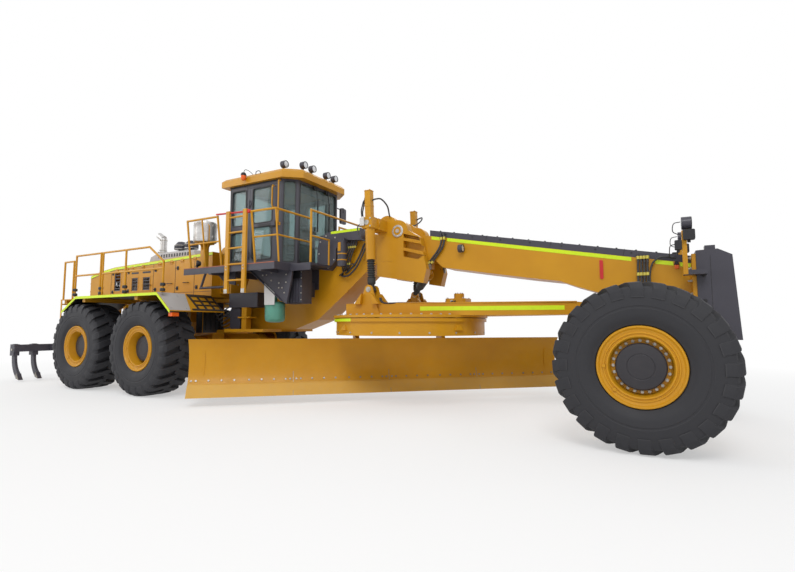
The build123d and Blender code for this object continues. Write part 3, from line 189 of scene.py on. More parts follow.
# ------------------------------------------------------------------ materials
GOLD = rgb(0.58, 0.275, 0.006)
GOLD_DEEP = rgb(0.45, 0.195, 0.004)
GOLD_DUSTY = rgb(0.5, 0.3, 0.07)
CHARCOAL = rgb(0.058, 0.056, 0.072)
LIME = rgb(0.62, 0.82, 0.01)


def paint(name, colour, deep, dusty, rough, coat):
    """Sprayed machine paint: slow colour drift, orange peel, dust low down and dull edges."""
    finish = Finish(name, Coat_Roughness=0.18, IOR=1.5, Specular_IOR_Level=0.3)
    height = finish.axes()[2]
    drift = finish.ramp(finish.noise(1.3, 3.0), (0.35, 0.0), (0.7, 1.0))
    film = finish.ramp(finish.noise(9.0, 6.0, 0.65), (0.45, 0.0), (0.75, 1.0))
    low = finish.clamp(1 - height / 1.6)
    colour = finish.mix(drift * 0.5, colour, deep)
    colour = finish.mix(film * (0.05 + low * 0.25), colour, dusty)
    edge = finish.edges(0.006) * finish.ramp(finish.noise(24.0), (0.5, 0.0), (0.62, 1.0))
    colour = finish.mix(edge * 0.6, colour, dusty)
    roughness = rough + film * 0.12 + low * 0.1
    peel = finish.bump(finish.noise(260.0, 2.0), 0.04, 0.001)
    wear = finish.clamp(coat - film * coat * 0.5 - low * coat * 0.4)
    return finish.set(Base_Color=colour, Roughness=roughness, Normal=peel, Coat_Weight=wear)


def stripe_tape():
    """Lime tape with fine reflective cells."""
    finish = Finish("lime_reflective_tape", IOR=1.45)
    cells = finish.node("TexVoronoi", {"feature": "DISTANCE_TO_EDGE"}, in0=finish.place(), Scale=160.0)
    grime = finish.ramp(finish.noise(14.0, 5.0), (0.5, 0.0), (0.8, 1.0))
    colour = finish.mix(grime * 0.25, LIME, rgb(0.36, 0.45, 0.03))
    return finish.set(Base_Color=colour, Roughness=0.34 + grime * 0.2, Normal=finish.bump(cells, 0.08, 0.0006))


def tyre_rubber():
    """Black rubber greyed by dust in the low and worn places."""
    finish = Finish("tyre_rubber", IOR=1.5)
    fine = finish.noise(90.0, 5.0, 0.7)
    cloud = finish.ramp(finish.noise(3.2, 5.0, 0.6), (0.4, 0.0), (0.75, 1.0))
    colour = finish.mix(cloud * 0.6, rgb(0.017, 0.017, 0.021), rgb(0.036, 0.036, 0.041))
    colour = finish.mix(finish.edges(0.01) * 0.35, colour, rgb(0.075, 0.072, 0.075))
    return finish.set(Base_Color=colour, Roughness=0.66 + cloud * 0.2, Normal=finish.bump(fine, 0.16, 0.002))


def soft_rubber(name, colour):
    """Smooth rubber with dusty smears."""
    finish = Finish(name, IOR=1.5)
    smear = finish.ramp(finish.noise(20.0, 4.0), (0.45, 0.0), (0.8, 1.0))
    shade = finish.mix(smear * 0.4, colour, rgb(0.07, 0.066, 0.06))
    return finish.set(Base_Color=shade, Roughness=0.5 + smear * 0.25,
        Normal=finish.bump(finish.noise(180.0), 0.1, 0.0008))


def metal(name, colour, dark, rough, stretch=(2.0, 2.0, 60.0)):
    """Brushed or cast metal with stains."""
    finish = Finish(name, IOR=1.5)
    grain_way = finish.node("Mapping", in0=finish.place(), Scale=stretch)
    grain = finish.noise(12.0, 6.0, 0.6, vector=grain_way)
    stain = finish.ramp(finish.noise(6.0, 5.0, 0.6), (0.42, 0.0), (0.72, 1.0))
    shade = finish.mix(stain * 0.55, colour, dark)
    return finish.set(Base_Color=shade, Metallic=0.9 - stain * 0.25, Roughness=rough + grain * 0.16 + stain * 0.12,
        Normal=finish.bump(grain, 0.08, 0.0006))


def cab_glass_finish():
    """Green-grey glass with faint smears."""
    finish = Finish("tinted_glass", Transmission_Weight=0.85, IOR=1.33)
    smear = finish.ramp(finish.noise(5.0, 4.0), (0.5, 0.0), (0.8, 1.0))
    shade = finish.mix(smear * 0.35, rgb(0.4, 0.52, 0.52), rgb(0.52, 0.56, 0.54))
    return finish.set(Base_Color=shade, Roughness=0.02 + smear * 0.07)


def plastic(name, colour, worn, rough):
    """Moulded plastic with a fine grain."""
    finish = Finish(name, IOR=1.46)
    cloud = finish.ramp(finish.noise(7.0, 4.0), (0.4, 0.0), (0.75, 1.0))
    shade = finish.mix(cloud * 0.4, colour, worn)
    return finish.set(Base_Color=shade, Roughness=rough + cloud * 0.12,
        Normal=finish.bump(finish.noise(420.0, 2.0), 0.12, 0.0005))


def seat_cloth():
    """Woven seat cover."""
    finish = Finish("seat_cloth", Sheen_Weight=0.3, IOR=1.4)
    across = finish.node("TexWave", {"bands_direction": "Y"}, in0=finish.place(), Scale=120.0)
    along = finish.node("TexWave", {"bands_direction": "Z"}, in0=finish.place(), Scale=120.0)
    weave = across * 0.5 + along * 0.5
    shade = finish.mix(weave, rgb(0.03, 0.032, 0.036), rgb(0.085, 0.09, 0.1))
    return finish.set(Base_Color=shade, Roughness=0.9, Normal=finish.bump(weave, 0.3, 0.001))


def lamp_glass():
    """Ribbed lens over a bright reflector."""
    finish = Finish("lamp_glass", IOR=1.45, Metallic=0.3)
    ribs = finish.node("TexWave", {"bands_direction": "Y"}, in0=finish.place(), Scale=30.0)
    shade = finish.mix(ribs, rgb(0.55, 0.57, 0.6), rgb(0.85, 0.87, 0.9))
    return finish.set(Base_Color=shade, Roughness=0.12 + ribs * 0.1, Normal=finish.bump(ribs, 0.3, 0.003))


FINISHES = {
    "gold": paint("gold_paint", GOLD, GOLD_DEEP, GOLD_DUSTY, 0.4, 0.15),
    "charcoal": paint("charcoal_paint", CHARCOAL, rgb(0.042, 0.04, 0.052), rgb(0.13, 0.12, 0.12), 0.42, 0.2),
    "teal": paint("teal_paint", rgb(0.11, 0.33, 0.25), rgb(0.08, 0.26, 0.2), rgb(0.25, 0.36, 0.3), 0.4, 0.2),
    "white": paint("white_plate", rgb(0.62, 0.61, 0.6), rgb(0.5, 0.49, 0.48), rgb(0.5, 0.45, 0.38), 0.4, 0.2),
    "red": paint("red_strap", rgb(0.6, 0.03, 0.03), rgb(0.42, 0.02, 0.02), rgb(0.4, 0.12, 0.08), 0.45, 0.1),
    "rust": paint("edge_line_paint", rgb(0.33, 0.1, 0.05), rgb(0.25, 0.08, 0.04), rgb(0.3, 0.15, 0.1), 0.5, 0.05),
    "black": paint("black_paint", rgb(0.02, 0.02, 0.023), rgb(0.012, 0.012, 0.014), rgb(0.1, 0.09, 0.08), 0.4, 0.1),
    "worn_gold": paint("worn_gold_paint", rgb(0.66, 0.38, 0.07), rgb(0.58, 0.31, 0.05), rgb(0.55, 0.38, 0.16),
        0.42, 0.05),
    "hub": paint("hub_paint", rgb(0.033, 0.031, 0.036), rgb(0.022, 0.021, 0.025), rgb(0.08, 0.07, 0.07), 0.42, 0.1),
    "lime": stripe_tape(),
    "tyre": tyre_rubber(),
    "rubber": soft_rubber("black_rubber", rgb(0.02, 0.02, 0.021)),
    "hose": soft_rubber("hose_rubber", rgb(0.03, 0.03, 0.032)),
    "steel": metal("worn_steel", rgb(0.3, 0.28, 0.25), rgb(0.14, 0.1, 0.07), 0.34),
    "bright": metal("bright_steel", rgb(0.62, 0.61, 0.6), rgb(0.36, 0.33, 0.3), 0.3),
    "brass": metal("brass_fittings", rgb(0.58, 0.5, 0.1), rgb(0.34, 0.28, 0.08), 0.34, (8.0, 8.0, 8.0)),
    "zinc": metal("zinc_bolts", rgb(0.5, 0.48, 0.44), rgb(0.3, 0.27, 0.22), 0.34, (8.0, 8.0, 8.0)),
    "glass": cab_glass_finish(),
    "trim": plastic("cab_trim", rgb(0.03, 0.03, 0.034), rgb(0.065, 0.065, 0.07), 0.6),
    "cloth": seat_cloth(),
    "lens": lamp_glass(),
    "beacon": plastic("amber_beacon", rgb(0.85, 0.13, 0.01), rgb(0.7, 0.1, 0.01), 0.2),
    "panel": paint("fender_plate", rgb(0.46, 0.44, 0.43), rgb(0.38, 0.36, 0.35), rgb(0.34, 0.29, 0.24), 0.45, 0.1),
}


def dress(node, finish):
    """Gives a CAD node one of the finishes."""
    mesh = NODES[node].data
    mesh.materials.clear()
    mesh.materials.append(FINISHES[finish])


def dress_all():
    """Gives every CAD node its finish."""
    table = {
        "gold": ["hood", "fenders", "main_frame", "tandem_cases", "cab_roof", "service_cabinet", "drawbar",
                 "tilt_frame", "moldboard", "lift_barrel_right", "lift_barrel_left",
                 "shift_barrel", "front_axle", "lean_bracket_right", "lean_bracket_left",
                 "knuckle_right", "knuckle_left", "rear_rails", "platform_rails", "rear_frame",
                 "circle", "circle_motor"],
        "charcoal": ["hood_grilles", "boom_cover", "nose_box", "cab_shell", "door_right", "door_left", "platforms",
                     "side_fairings", "ripper_links", "ripper_beam", "air_cleaners", "work_lamps", "mirror_left"],
        "worn_gold": ["cutting_edge"],
        "steel": ["engine_block", "circle_pinion"],
        "bright": ["exhaust_stack", "canisters"],
        "panel": ["hood_cowl"],
        "rubber": ["lift_rod_right", "lift_rod_left", "shift_rod"],
        "trim": ["cab_interior"],
        "glass": ["cab_glass", "door_glass_right", "door_glass_left"],
    }
    for finish, nodes in table.items():
        for node in nodes:
            dress(node, finish)
    for axle, side in WHEELS:
        dress(f"tyre_{axle}_{side}", "tyre")
        dress(f"rim_{axle}_{side}", "gold")


# ------------------------------------------------------------------ mesh building
def spoke(angle):
    """Unit vector in the plane of X and Y."""
    return Vector((math.cos(angle), math.sin(angle), 0))


class Form:
    """A mesh piece put together from prisms, turned rings, tubes and bolts."""

    def __init__(self):
        self.mesh = bmesh.new()

    def skin(self, rings, loop=False):
        """Walls between closed rings of points, with lids on the two ends."""
        rows = [[self.mesh.verts.new(point) for point in ring] for ring in rings]
        pairs = list(zip(rows, rows[1:]))
        if loop:
            pairs.append((rows[-1], rows[0]))
        for near, far in pairs:
            for place in range(len(near)):
                after = (place + 1) % len(near)
                self.mesh.faces.new((near[place], near[after], far[after], far[place]))
        if not loop:
            self.mesh.faces.new(rows[0][::-1])
            self.mesh.faces.new(rows[-1])
        return self

    def prism(self, outline, low, high, across="y"):
        """Outline in the plane square to one axis, carried along it from low to high."""
        turn = {"y": lambda a, b, t: (a, t, b), "x": lambda a, b, t: (t, a, b), "z": lambda a, b, t: (a, b, t)}
        return self.skin([[turn[across](a, b, level) for a, b in outline] for level in (low, high)])

    def block(self, low, high):
        (x, y, z), (far_x, far_y, far_z) = low, high
        return self.prism([(x, z), (far_x, z), (far_x, far_z), (x, far_z)], y, far_y)

    def turned(self, profile, centre, way=ACROSS, steps=64):
        """A closed (radius, along) profile turned round an axis."""
        spin = Vector(way).to_track_quat("Z", "X").to_matrix()
        rings = []
        for step in range(steps):
            out = spin @ spoke(math.tau * step / steps)
            rings.append([Vector(centre) + out * radius + Vector(way).normalized() * along
                for radius, along in profile])
        return self.skin(rings, loop=True)

    def tube(self, points, radius, sides=10, closed=False):
        """Round bar along a run of points, held square to the run at each one."""
        points = [Vector(point) for point in points]
        rings = []
        side = None
        last = len(points) - 1
        for place, point in enumerate(points):
            before = points[place - 1] if closed or place else point
            after = points[(place + 1) % len(points)] if closed or place < last else point
            ahead = (after - before).normalized()
            if side is None:
                side = ahead.orthogonal().normalized()
            side = (side - ahead * side.dot(ahead)).normalized()
            over = ahead.cross(side)
            size = radius[place] if isinstance(radius, (list, tuple)) else radius
            rings.append([point + (side * math.cos(turn) + over * math.sin(turn)) * size
                for turn in (math.tau * step / sides for step in range(sides))])
        return self.skin(rings, loop=closed)

    def rod(self, start, end, radius, sides=16):
        return self.tube([start, end], radius, sides)

    def hose(self, points, radius, sides=10):
        """Round line that runs smoothly through its points."""
        return self.tube(eased(points), radius, sides)

    def hoop(self, inner, outer, low, high, centre, way, steps=48):
        """Square-edged ring round an axis."""
        return self.turned([(inner, low), (outer, low), (outer, high), (inner, high)], centre, way, steps)

    def cap(self, foot, top, tall, centre, way, steps=32):
        """Round cover with a narrower top."""
        return self.turned([(0.001, 0), (foot, 0), (top, tall), (0.001, tall)], centre, way, steps)

    def slab(self, low, high, radius, near, far, across="y"):
        """Plate with rounded corners between two levels of one axis."""
        (a, b), (c, d) = low, high
        return self.prism(rounded([(a, b), (c, b), (c, d), (a, d)], radius), near, far, across)

    def bolt(self, centre, way, across=0.03):
        """Hexagon head on a round washer."""
        centre, way = Vector(centre), Vector(way).normalized()
        self.rod(centre, centre + way * across * 0.12, across * 0.72, 16)
        self.rod(centre + way * across * 0.12, centre + way * across * 0.6, across * 0.55, 6)
        return self

    def bolts(self, centres, way, across=0.03):
        for centre in centres:
            self.bolt(centre, way, across)
        return self

    def bolt_circle(self, centre, way, radius, count, across=0.03):
        spin = Vector(way).to_track_quat("Z", "X").to_matrix()
        for step in range(count):
            self.bolt(Vector(centre) + spin @ spoke(math.tau * step / count) * radius, way, across)
        return self

    def moved(self, matrix):
        bmesh.ops.transform(self.mesh, matrix=matrix, verts=self.mesh.verts)
        return self


MIRROR = Matrix.Scale(-1, 4, ACROSS)


def piece(name, form, body, finish, bevel=0.004, sharp=32.0):
    """Turns a form into a piece of the machine that rides on a body."""
    bmesh.ops.recalc_face_normals(form.mesh, faces=form.mesh.faces)
    mesh = bpy.data.meshes.new(name)
    form.mesh.to_mesh(mesh)
    form.mesh.free()
    mesh.polygons.foreach_set("use_smooth", [True] * len(mesh.polygons))
    mesh.set_sharp_from_angle(angle=math.radians(sharp))
    made = bpy.data.objects.new(name, mesh)
    bpy.context.scene.collection.objects.link(made)
    mesh.materials.append(FINISHES[finish])
    if bevel:
        soft = made.modifiers.new("soft_edges", "BEVEL")
        soft.width = bevel
        soft.segments = 2
        soft.limit_method = "ANGLE"
        soft.angle_limit = math.radians(sharp)
        soft.harden_normals = True
    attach(made, body)
    return made


DETAILS = []


def detail(finish, bevel=0.0, body="front_frame", once=False):
    """Lists a function as the maker of a piece of its own name, on both sides unless it is made once."""

    def listed(build):
        DETAILS.append((build, body, finish, bevel, once))
        return build

    return listed


def make_details():
    """Every listed piece. A body may hold {side}, and the left-hand form is the mirrored right-hand one."""
    for build, body, finish, bevel, once in DETAILS:
        for side, sign in ((None, -1),) if once else SIDES:
            form = Form()
            build(form)
            if sign > 0:
                form.moved(MIRROR)
            name = build.__name__ if once else f"{build.__name__}_{side}"
            piece(name, form, body.format(side=side), finish, bevel)


def eased(points, steps=6):
    """A smooth run through the given points."""
    points = [Vector(point) for point in points]
    ends = [2 * points[0] - points[1]] + points + [2 * points[-1] - points[-2]]
    run = []
    for a, b, c, d in zip(ends, ends[1:], ends[2:], ends[3:]):
        for t in (step / steps for step in range(steps)):
            run.append(0.5 * (2 * b + (c - a) * t + (2 * a - 5 * b + 4 * c - d) * t * t + (3 * b - a - 3 * c + d)
                * t ** 3))
    return run + [points[-1]]


def rounded(outline, radius, steps=5):
    """A closed outline with its corners rounded."""
    outline = [Vector(point) for point in outline]
    made = []
    for place, corner in enumerate(outline):
        before = outline[place - 1] - corner
        after = outline[(place + 1) % len(outline)] - corner
        cut = min(radius, before.length / 2, after.length / 2)
        start, end = corner + before.normalized() * cut, corner + after.normalized() * cut
        for step in range(steps + 1):
            t = step / steps
            made.append(tuple(start * (1 - t) ** 2 + corner * 2 * t * (1 - t) + end * t * t))
    return made


# ------------------------------------------------------------------ wheels
LUG_COUNT = 24
LUG_DEPTH = 0.062
HUB_RADIUS, HUB_DOME = 0.262, 0.14
NUT_CIRCLE, NUT_COUNT = 0.288, 24


def wheel_centre(axle, side):
    """Middle of a tyre's box."""
    low, high = (Vector(corner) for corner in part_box(f"tyre_{axle}_{side}"))
    return (low + high) / 2


def tyre_form(radius, half):
    """Casing with raised rings on its walls, and bars of tread that meet at the crown."""
    form = Form()
    floor = radius - LUG_DEPTH
    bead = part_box("rim_mid_right")[1][2] - wheel_centre("mid", "right").z
    wall = [(bead - 0.035, 0.76), (bead, 0.8), (bead + 0.012, 0.86), (bead + 0.05, 0.9), (bead + 0.075, 0.955),
        (bead + 0.13, 0.985), (bead + 0.19, 0.998), (bead + 0.196, 0.984), (bead + 0.214, 0.984),
        (bead + 0.22, 0.998), (bead + 0.3, 0.985), (floor - 0.06, 0.965), (floor - 0.02, 0.93), (floor, 0.86)]
    form.turned([(size, -share * half) for size, share in wall] + [(size, share * half)
        for size, share in wall[::-1]], (0, 0, 0), ACROSS, 96)
    pitch = math.tau / LUG_COUNT
    stations = [(1.0, 0.835, 0.8), (0.985, 0.905, 0.82), (0.94, 0.952, 0.85), (0.88, 0.979, 0.87),
        (0.78, 0.99, 0.89), (0.62, 0.996, 0.9), (0.4, 0.999, 0.9), (0.18, 1.0, 0.9), (-0.02, 1.0, 0.9),
        (-0.14, 0.999, 0.9)]
    for lug in range(2 * LUG_COUNT):
        sign = 1 if lug % 2 else -1
        rings = []
        for across, top, foot in stations:
            lean = pitch * (lug / 2 + 0.62 * (1 - across) ** 0.9)
            width = pitch * (0.33 if across > 0.6 else 0.3)
            rings.append([(math.cos(lean + turn) * size * radius, sign * across * half,
                math.sin(lean + turn) * size * radius)
                for turn, size in ((-width, foot), (-width * 0.82, top), (width * 0.82, top), (width, foot))])
        form.skin(rings)
    return form


def tyres():
    """Treaded tyres in the place of the plain ones."""
    for axle, side in WHEELS:
        low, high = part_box(f"tyre_{axle}_{side}")
        form = tyre_form((high[2] - low[2]) / 2, (high[1] - low[1]) / 2)
        form.moved(Matrix.Translation(wheel_centre(axle, side)))
        made = piece(f"tread_{axle}_{side}", form, f"wheel_{axle}_{side}", "tyre", 0.007, 28.0)
        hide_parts(f"tyre_{axle}_{side}")


def rim_form(radius, face, depth):
    """Rim seen from outside: lip, lock rings, flange, and a deep well down to the hub."""
    mouth, floor = radius * 0.715, face - depth
    form = Form().turned([(radius, face), (radius - 0.006, face + 0.012), (radius - 0.022, face + 0.012),
        (radius - 0.032, face), (radius - 0.04, face - 0.012), (mouth + 0.062, face - 0.02),
        (mouth + 0.058, face - 0.01), (mouth + 0.044, face - 0.01), (mouth + 0.04, face - 0.024),
        (mouth + 0.028, face - 0.024), (mouth + 0.024, face - 0.012), (mouth + 0.008, face - 0.014),
        (mouth, face - 0.03), (mouth - 0.012, floor + 0.02), (mouth - 0.02, floor), (0.1, floor),
        (0.1, floor - 0.03), (mouth - 0.01, floor - 0.03), (radius - 0.05, floor - 0.03), (radius - 0.05, -face),
        (radius - 0.02, -face - 0.012), (radius, -face)], (0, 0, 0), ACROSS, 96)
    for turn in (0.5, 0.62):
        angle = math.tau * turn
        x, z = math.cos(angle) * (mouth + 0.05), math.sin(angle) * (mouth + 0.05)
        form.block((x - 0.018, face - 0.02, z - 0.018), (x + 0.018, face + 0.002, z + 0.018))
    return form


def hub_form(radius, face, floor, dome):
    """Drive hub with a stepped cap."""
    return Form().turned([(0.0005, floor), (radius, floor), (radius, face - 0.03), (radius - 0.015, face - 0.012),
        (radius - 0.05, face - 0.006), (dome + 0.006, face), (dome, face - 0.006), (dome - 0.006, face),
        (0.012, face + 0.002), (0.0005, face + 0.002)], (0, 0, 0), ACROSS, 72)


def wheels():
    """Rims, hubs and wheel nuts. The front wheels are shallower than the driven ones."""
    for axle, side in WHEELS:
        rim = f"rim_{axle}_{side}"
        low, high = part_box(rim)
        radius, face = (high[2] - low[2]) / 2, (high[1] - low[1]) / 2 - 0.012
        depth, stand = (0.15, 0.125) if axle == "front" else (0.29, 0.17)
        place = Matrix.Translation(wheel_centre(axle, side))
        if side == "right":
            place = place @ MIRROR
        body = f"wheel_{axle}_{side}"
        made = piece(f"rim_{axle}_{side}_dressed", rim_form(radius, face, depth).moved(place), body, "gold", 0.003)
        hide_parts(rim)
        hub = hub_form(HUB_RADIUS, face - depth + stand, face - depth - 0.01, HUB_DOME).moved(place)
        piece(f"hub_{axle}_{side}", hub, body, "hub", 0.003)
        nuts = Form().bolt_circle((0, face - depth, 0), ACROSS, NUT_CIRCLE, NUT_COUNT, 0.026).moved(place)
        piece(f"wheel_nuts_{axle}_{side}", nuts, body, "zinc", 0.0015)


# ------------------------------------------------------------------ rear tractor
HOOD_LINE = ((-6.57, 2.764), (-6.298, 2.832), (-6.022, 2.884), (-5.483, 2.947), (-4.835, 2.972), (-1.768, 3.084))
HOOD_SEAMS = (-5.62, -4.957, -3.86, -3.033, -2.36)
HOOD_LOW = 2.075
GRILLES = ((-5.473, -5.208, 2.316, 2.82), (-4.724, -4.475, 2.3, 2.625), (-4.27, -3.99, 2.3, 2.625))


def box_of(node):
    """Lowest and highest corner of a CAD node."""
    low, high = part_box(node)
    return Vector(low), Vector(high)


HOOD_SIDE = box_of("hood")[0].y
FENDER_SIDE = box_of("fenders")[0].y
FENDER_FRONT = box_of("fenders")[1].x
DECK = 2.08
SLOPE = (-1.7, DECK, FENDER_FRONT, 1.721)
SEAM = 0.003


def hood_line(x):
    """Height of the hood's top edge at a place along it."""
    for (near, low), (far, high) in zip(HOOD_LINE, HOOD_LINE[1:]):
        if near <= x <= far:
            return low + (high - low) * (x - near) / (far - near)
    return HOOD_LINE[-1][1]


def band(form, run, drop, y, proud=0.004):
    """Reflective tape below a line of (x, z) points, on the plane y."""
    for (x, z), (far_x, far_z) in zip(run, run[1:]):
        form.prism([(x, z), (far_x, far_z), (far_x, far_z - drop), (x, z - drop)], y, y + proud)


@detail("lime", body="rear_frame")
def hood_tape(form):
    """Tape along the top edge of the hood's side."""
    band(form, [(x, z - 0.012) for x, z in HOOD_LINE], 0.058, HOOD_SIDE - 0.004)


@detail("lime", body="rear_frame")
def fender_tape(form):
    """Tape on the outer edge of the fender, from its tail over the deck and down the front slope."""
    run = [(-5.16, 1.76), (-4.6, DECK), (-1.7, DECK), (FENDER_FRONT, 1.721)]
    band(form, run, 0.056, FENDER_SIDE - 0.005, 0.005)


@detail("black", body="rear_frame")
def hood_seams_and_crease_shade(form):
    """Shut lines between the hood's doors, and black lines of painted shade for the creases above and below them.
    """
    inner, outer = HOOD_SIDE - SEAM, HOOD_SIDE
    for x in HOOD_SEAMS:
        form.block((x - 0.005, inner, HOOD_LOW), (x + 0.005, outer, hood_line(x) - 0.075))
    # The crease lines are black strips of painted shade.
    for near, far in zip((-6.55,) + HOOD_SEAMS, HOOD_SEAMS + (-1.79,)):
        low, high = hood_line(near) - 0.08, hood_line(far) - 0.08
        form.prism([(near, low), (far, high), (far, high + 0.008), (near, low + 0.008)], inner, outer)
        form.block((near, inner, 2.19), (far, outer, 2.198))


@detail("black", 0.002, "rear_frame")
def hood_latches(form):
    """Turn latches and lift handles of the doors."""
    y = HOOD_SIDE
    for x in HOOD_SEAMS:
        for z in (2.3, 2.78):
            form.block((x + 0.05, y - 0.008, z - 0.045), (x + 0.12, y, z + 0.045))
            form.rod((x + 0.085, y, z), (x + 0.085, y - 0.03, z), 0.014)
            form.block((x + 0.055, y - 0.036, z - 0.008), (x + 0.115, y - 0.026, z + 0.008))
    for x in (-4.1, -3.3, -2.7):
        form.tube([(x, y, 2.42), (x, y - 0.045, 2.42), (x + 0.16, y - 0.045, 2.42), (x + 0.16, y, 2.42)], 0.009, 8)


@detail("gold", 0.001, "rear_frame")
def hood_hinges(form):
    """Barrel hinges under the hood's top edge."""
    for x in [seam + step for seam in HOOD_SEAMS[:-1] for step in (0.18, 0.62)]:
        z = hood_line(x) - 0.1
        form.rod((x, HOOD_SIDE - 0.012, z), (x + 0.11, HOOD_SIDE - 0.012, z), 0.012, 12)
        form.block((x, HOOD_SIDE - 0.006, z - 0.05), (x + 0.11, HOOD_SIDE, z + 0.05))
        form.bolts([(x + along, HOOD_SIDE - 0.006, z - 0.035) for along in (0.025, 0.085)], OUT, 0.014)


@detail("gold", 0.001, "rear_frame")
def grille_frames(form):
    """Raised surrounds of the grilles."""
    for near, far, low, high in GRILLES:
        for x, z, far_x, far_z in ((near - 0.025, low - 0.025, far + 0.025, low),
                (near - 0.025, high, far + 0.025, high + 0.025), (near - 0.025, low, near, high),
                (far, low, far + 0.025, high)):
            form.block((x, HOOD_SIDE - 0.006, z), (far_x, HOOD_SIDE, far_z))


@detail("black", body="rear_frame")
def hood_slots_painted_shade(form):
    """Narrow slots over the two small grilles, as black strips: painted shade for the openings."""
    for near, far, _, high in GRILLES[1:]:
        form.block((near - 0.02, HOOD_SIDE - SEAM, high + 0.1), (far + 0.02, HOOD_SIDE, high + 0.145))


@detail("rubber", body="rear_frame")
def post_buffers(form):
    """Rubber buffers on the handrail posts where they pass the deck's edge."""
    profile = [(0.02, -0.03), (0.045, -0.03), (0.05, -0.015), (0.05, 0.015), (0.045, 0.03), (0.02, 0.03)]
    for x in (-4.75, -3.725, -2.85, -1.6):
        for z in (2.13, 2.235):
            form.turned(profile, (x, FENDER_SIDE + 0.058, z), UP, 24)


TAIL = box_of("hood")[0].x
TAIL_LAMPS = [(y, z) for y in (-0.585, 0.585) for z in (2.36, 2.58)]


@detail("black", 0.001, "rear_frame", once=True)
def tail_screen(form):
    """Slats and uprights across the hood's tail."""
    near, far = TAIL + 0.03, TAIL + 0.07
    for step in range(13):
        z = 2.285 + step * 0.03
        form.prism([(near, z), (far, z + 0.008), (far, z + 0.012), (near, z + 0.004)], -0.548, 0.548)
    for y in (-0.36, -0.12, 0.12, 0.36):
        form.block((near, y - 0.008, 2.275), (TAIL + 0.045, y + 0.008, 2.665))


@detail("black", 0.001, "rear_frame", once=True)
def tail_fan(form):
    """Hub, blades and shroud of the fan behind the slats."""
    hub = Vector((TAIL + 0.24, 0.0, 2.47))
    form.hoop(0.001, 0.07, -0.03, 0.03, hub, AHEAD, 24)
    for blade in range(8):
        turn = spoke(math.tau * blade / 8)
        out, over = Vector((0, turn.x, turn.y)), Vector((0, -turn.y, turn.x))
        form.skin([[hub + out * reach + over * wide * side + Vector((x, 0, 0))
            for side, x in ((1, 0.02), (-1, -0.02), (-1, -0.023), (1, 0.017))]
            for reach, wide in ((0.06, 0.03), (0.19, 0.055))])
    form.hoop(0.195, 0.21, -0.05, 0.05, hub, AHEAD)


@detail("black", 0.001, "rear_frame", once=True)
def tail_lamp_rims(form):
    """Cups of the four tail lamps."""
    for y, z in TAIL_LAMPS:
        form.turned([(0.001, 0.0), (0.045, 0.0), (0.045, 0.018), (0.036, 0.018), (0.036, 0.01), (0.001, 0.01)],
            (TAIL + 0.018, y, z), (-1, 0, 0), 32)


@detail("red", 0.001, "rear_frame", once=True)
def tail_lamp_lenses(form):
    """Red glasses of the four tail lamps."""
    for y, z in TAIL_LAMPS:
        form.turned([(0.001, 0.01), (0.035, 0.01), (0.03, 0.02), (0.001, 0.023)], (TAIL + 0.021, y, z), (-1, 0, 0),
            32)


STACK = box_of("exhaust_stack")[1].x - 0.13


@detail("zinc", 0.0015, "rear_frame", once=True)
def exhaust_clamps(form):
    """Band clamps of the exhaust, each with its bolt block."""
    for z, radius in ((3.06, 0.132), (3.36, 0.132), (3.42, 0.087), (3.7, 0.087)):
        form.hoop(radius, radius + 0.006, -0.012, 0.012, (STACK, 0, z), UP)
        form.block((STACK - 0.015, -radius - 0.03, z - 0.01), (STACK + 0.015, -radius, z + 0.01))


@detail("black", body="rear_frame", once=True)
def exhaust_slots_painted_shade(form):
    """Two rows of slots round the heat shield, as black patches: painted shade for the openings."""
    for turn in range(16):
        out = spoke(math.tau * turn / 16)
        over = Vector((-out.y, out.x, 0))
        for z in (3.11, 3.23):
            form.skin([[Vector((STACK, 0, level)) + out * (0.1305 + lift) + over * side
                for side, lift in ((-0.009, -0.004), (0.009, -0.004), (0.009, 0.002), (-0.009, 0.002))]
                for level in (z, z + 0.09)])


@detail("black", body="rear_frame", once=True)
def exhaust_mouth_painted_shade(form):
    """Black disc across the bent end, painted shade for the dark inside of the pipe."""
    way = Vector((-0.19, 0, 0.11)).normalized()
    form.hoop(0.001, 0.077, 0.0, 0.002, Vector((STACK - 0.19, 0, 3.85)), way)


CLEANERS = (box_of("air_cleaners")[0].x + 0.165, box_of("air_cleaners")[1].x - 0.165)


@detail("trim", body="rear_frame", once=True)
def precleaner_vanes(form):
    """Upright vanes round the two precleaner bowls."""
    for x in CLEANERS:
        for turn in range(24):
            out = spoke(math.tau * turn / 24) * 0.166
            form.rod(Vector((x, 0, 3.405)) + out, Vector((x, 0, 3.485)) + out, 0.006, 6)


@detail("zinc", body="rear_frame", once=True)
def precleaner_bands(form):
    """Clamps and wing nuts of the two precleaner bowls."""
    for x in CLEANERS:
        for z, radius in ((3.395, 0.165), (3.492, 0.165), (3.33, 0.071)):
            form.hoop(radius, radius + 0.008, -0.006, 0.006, (x, 0, z), UP)
        form.bolt((x, 0, box_of("air_cleaners")[1].z), UP, 0.03)


@detail("zinc", 0.001, "rear_frame")
def cowl_bolts(form):
    """Bolts along the foot of the intake cover."""
    low, high = box_of("hood_cowl")
    for step in range(9):
        x = low.x + 0.2 + step * (high.x - low.x - 0.4) / 8
        form.bolt((x, low.y, hood_line(x) + 0.05), OUT, 0.02)


@detail("black", body="rear_frame")
def cowl_vents_painted_shade(form):
    """Row of vents in the intake cover's side, as black patches: painted shade for the openings."""
    y = box_of("hood_cowl")[0].y
    for step in range(12):
        x = -4.05 + step * 0.1
        form.block((x, y - 0.004, 3.12), (x + 0.05, y, 3.2))


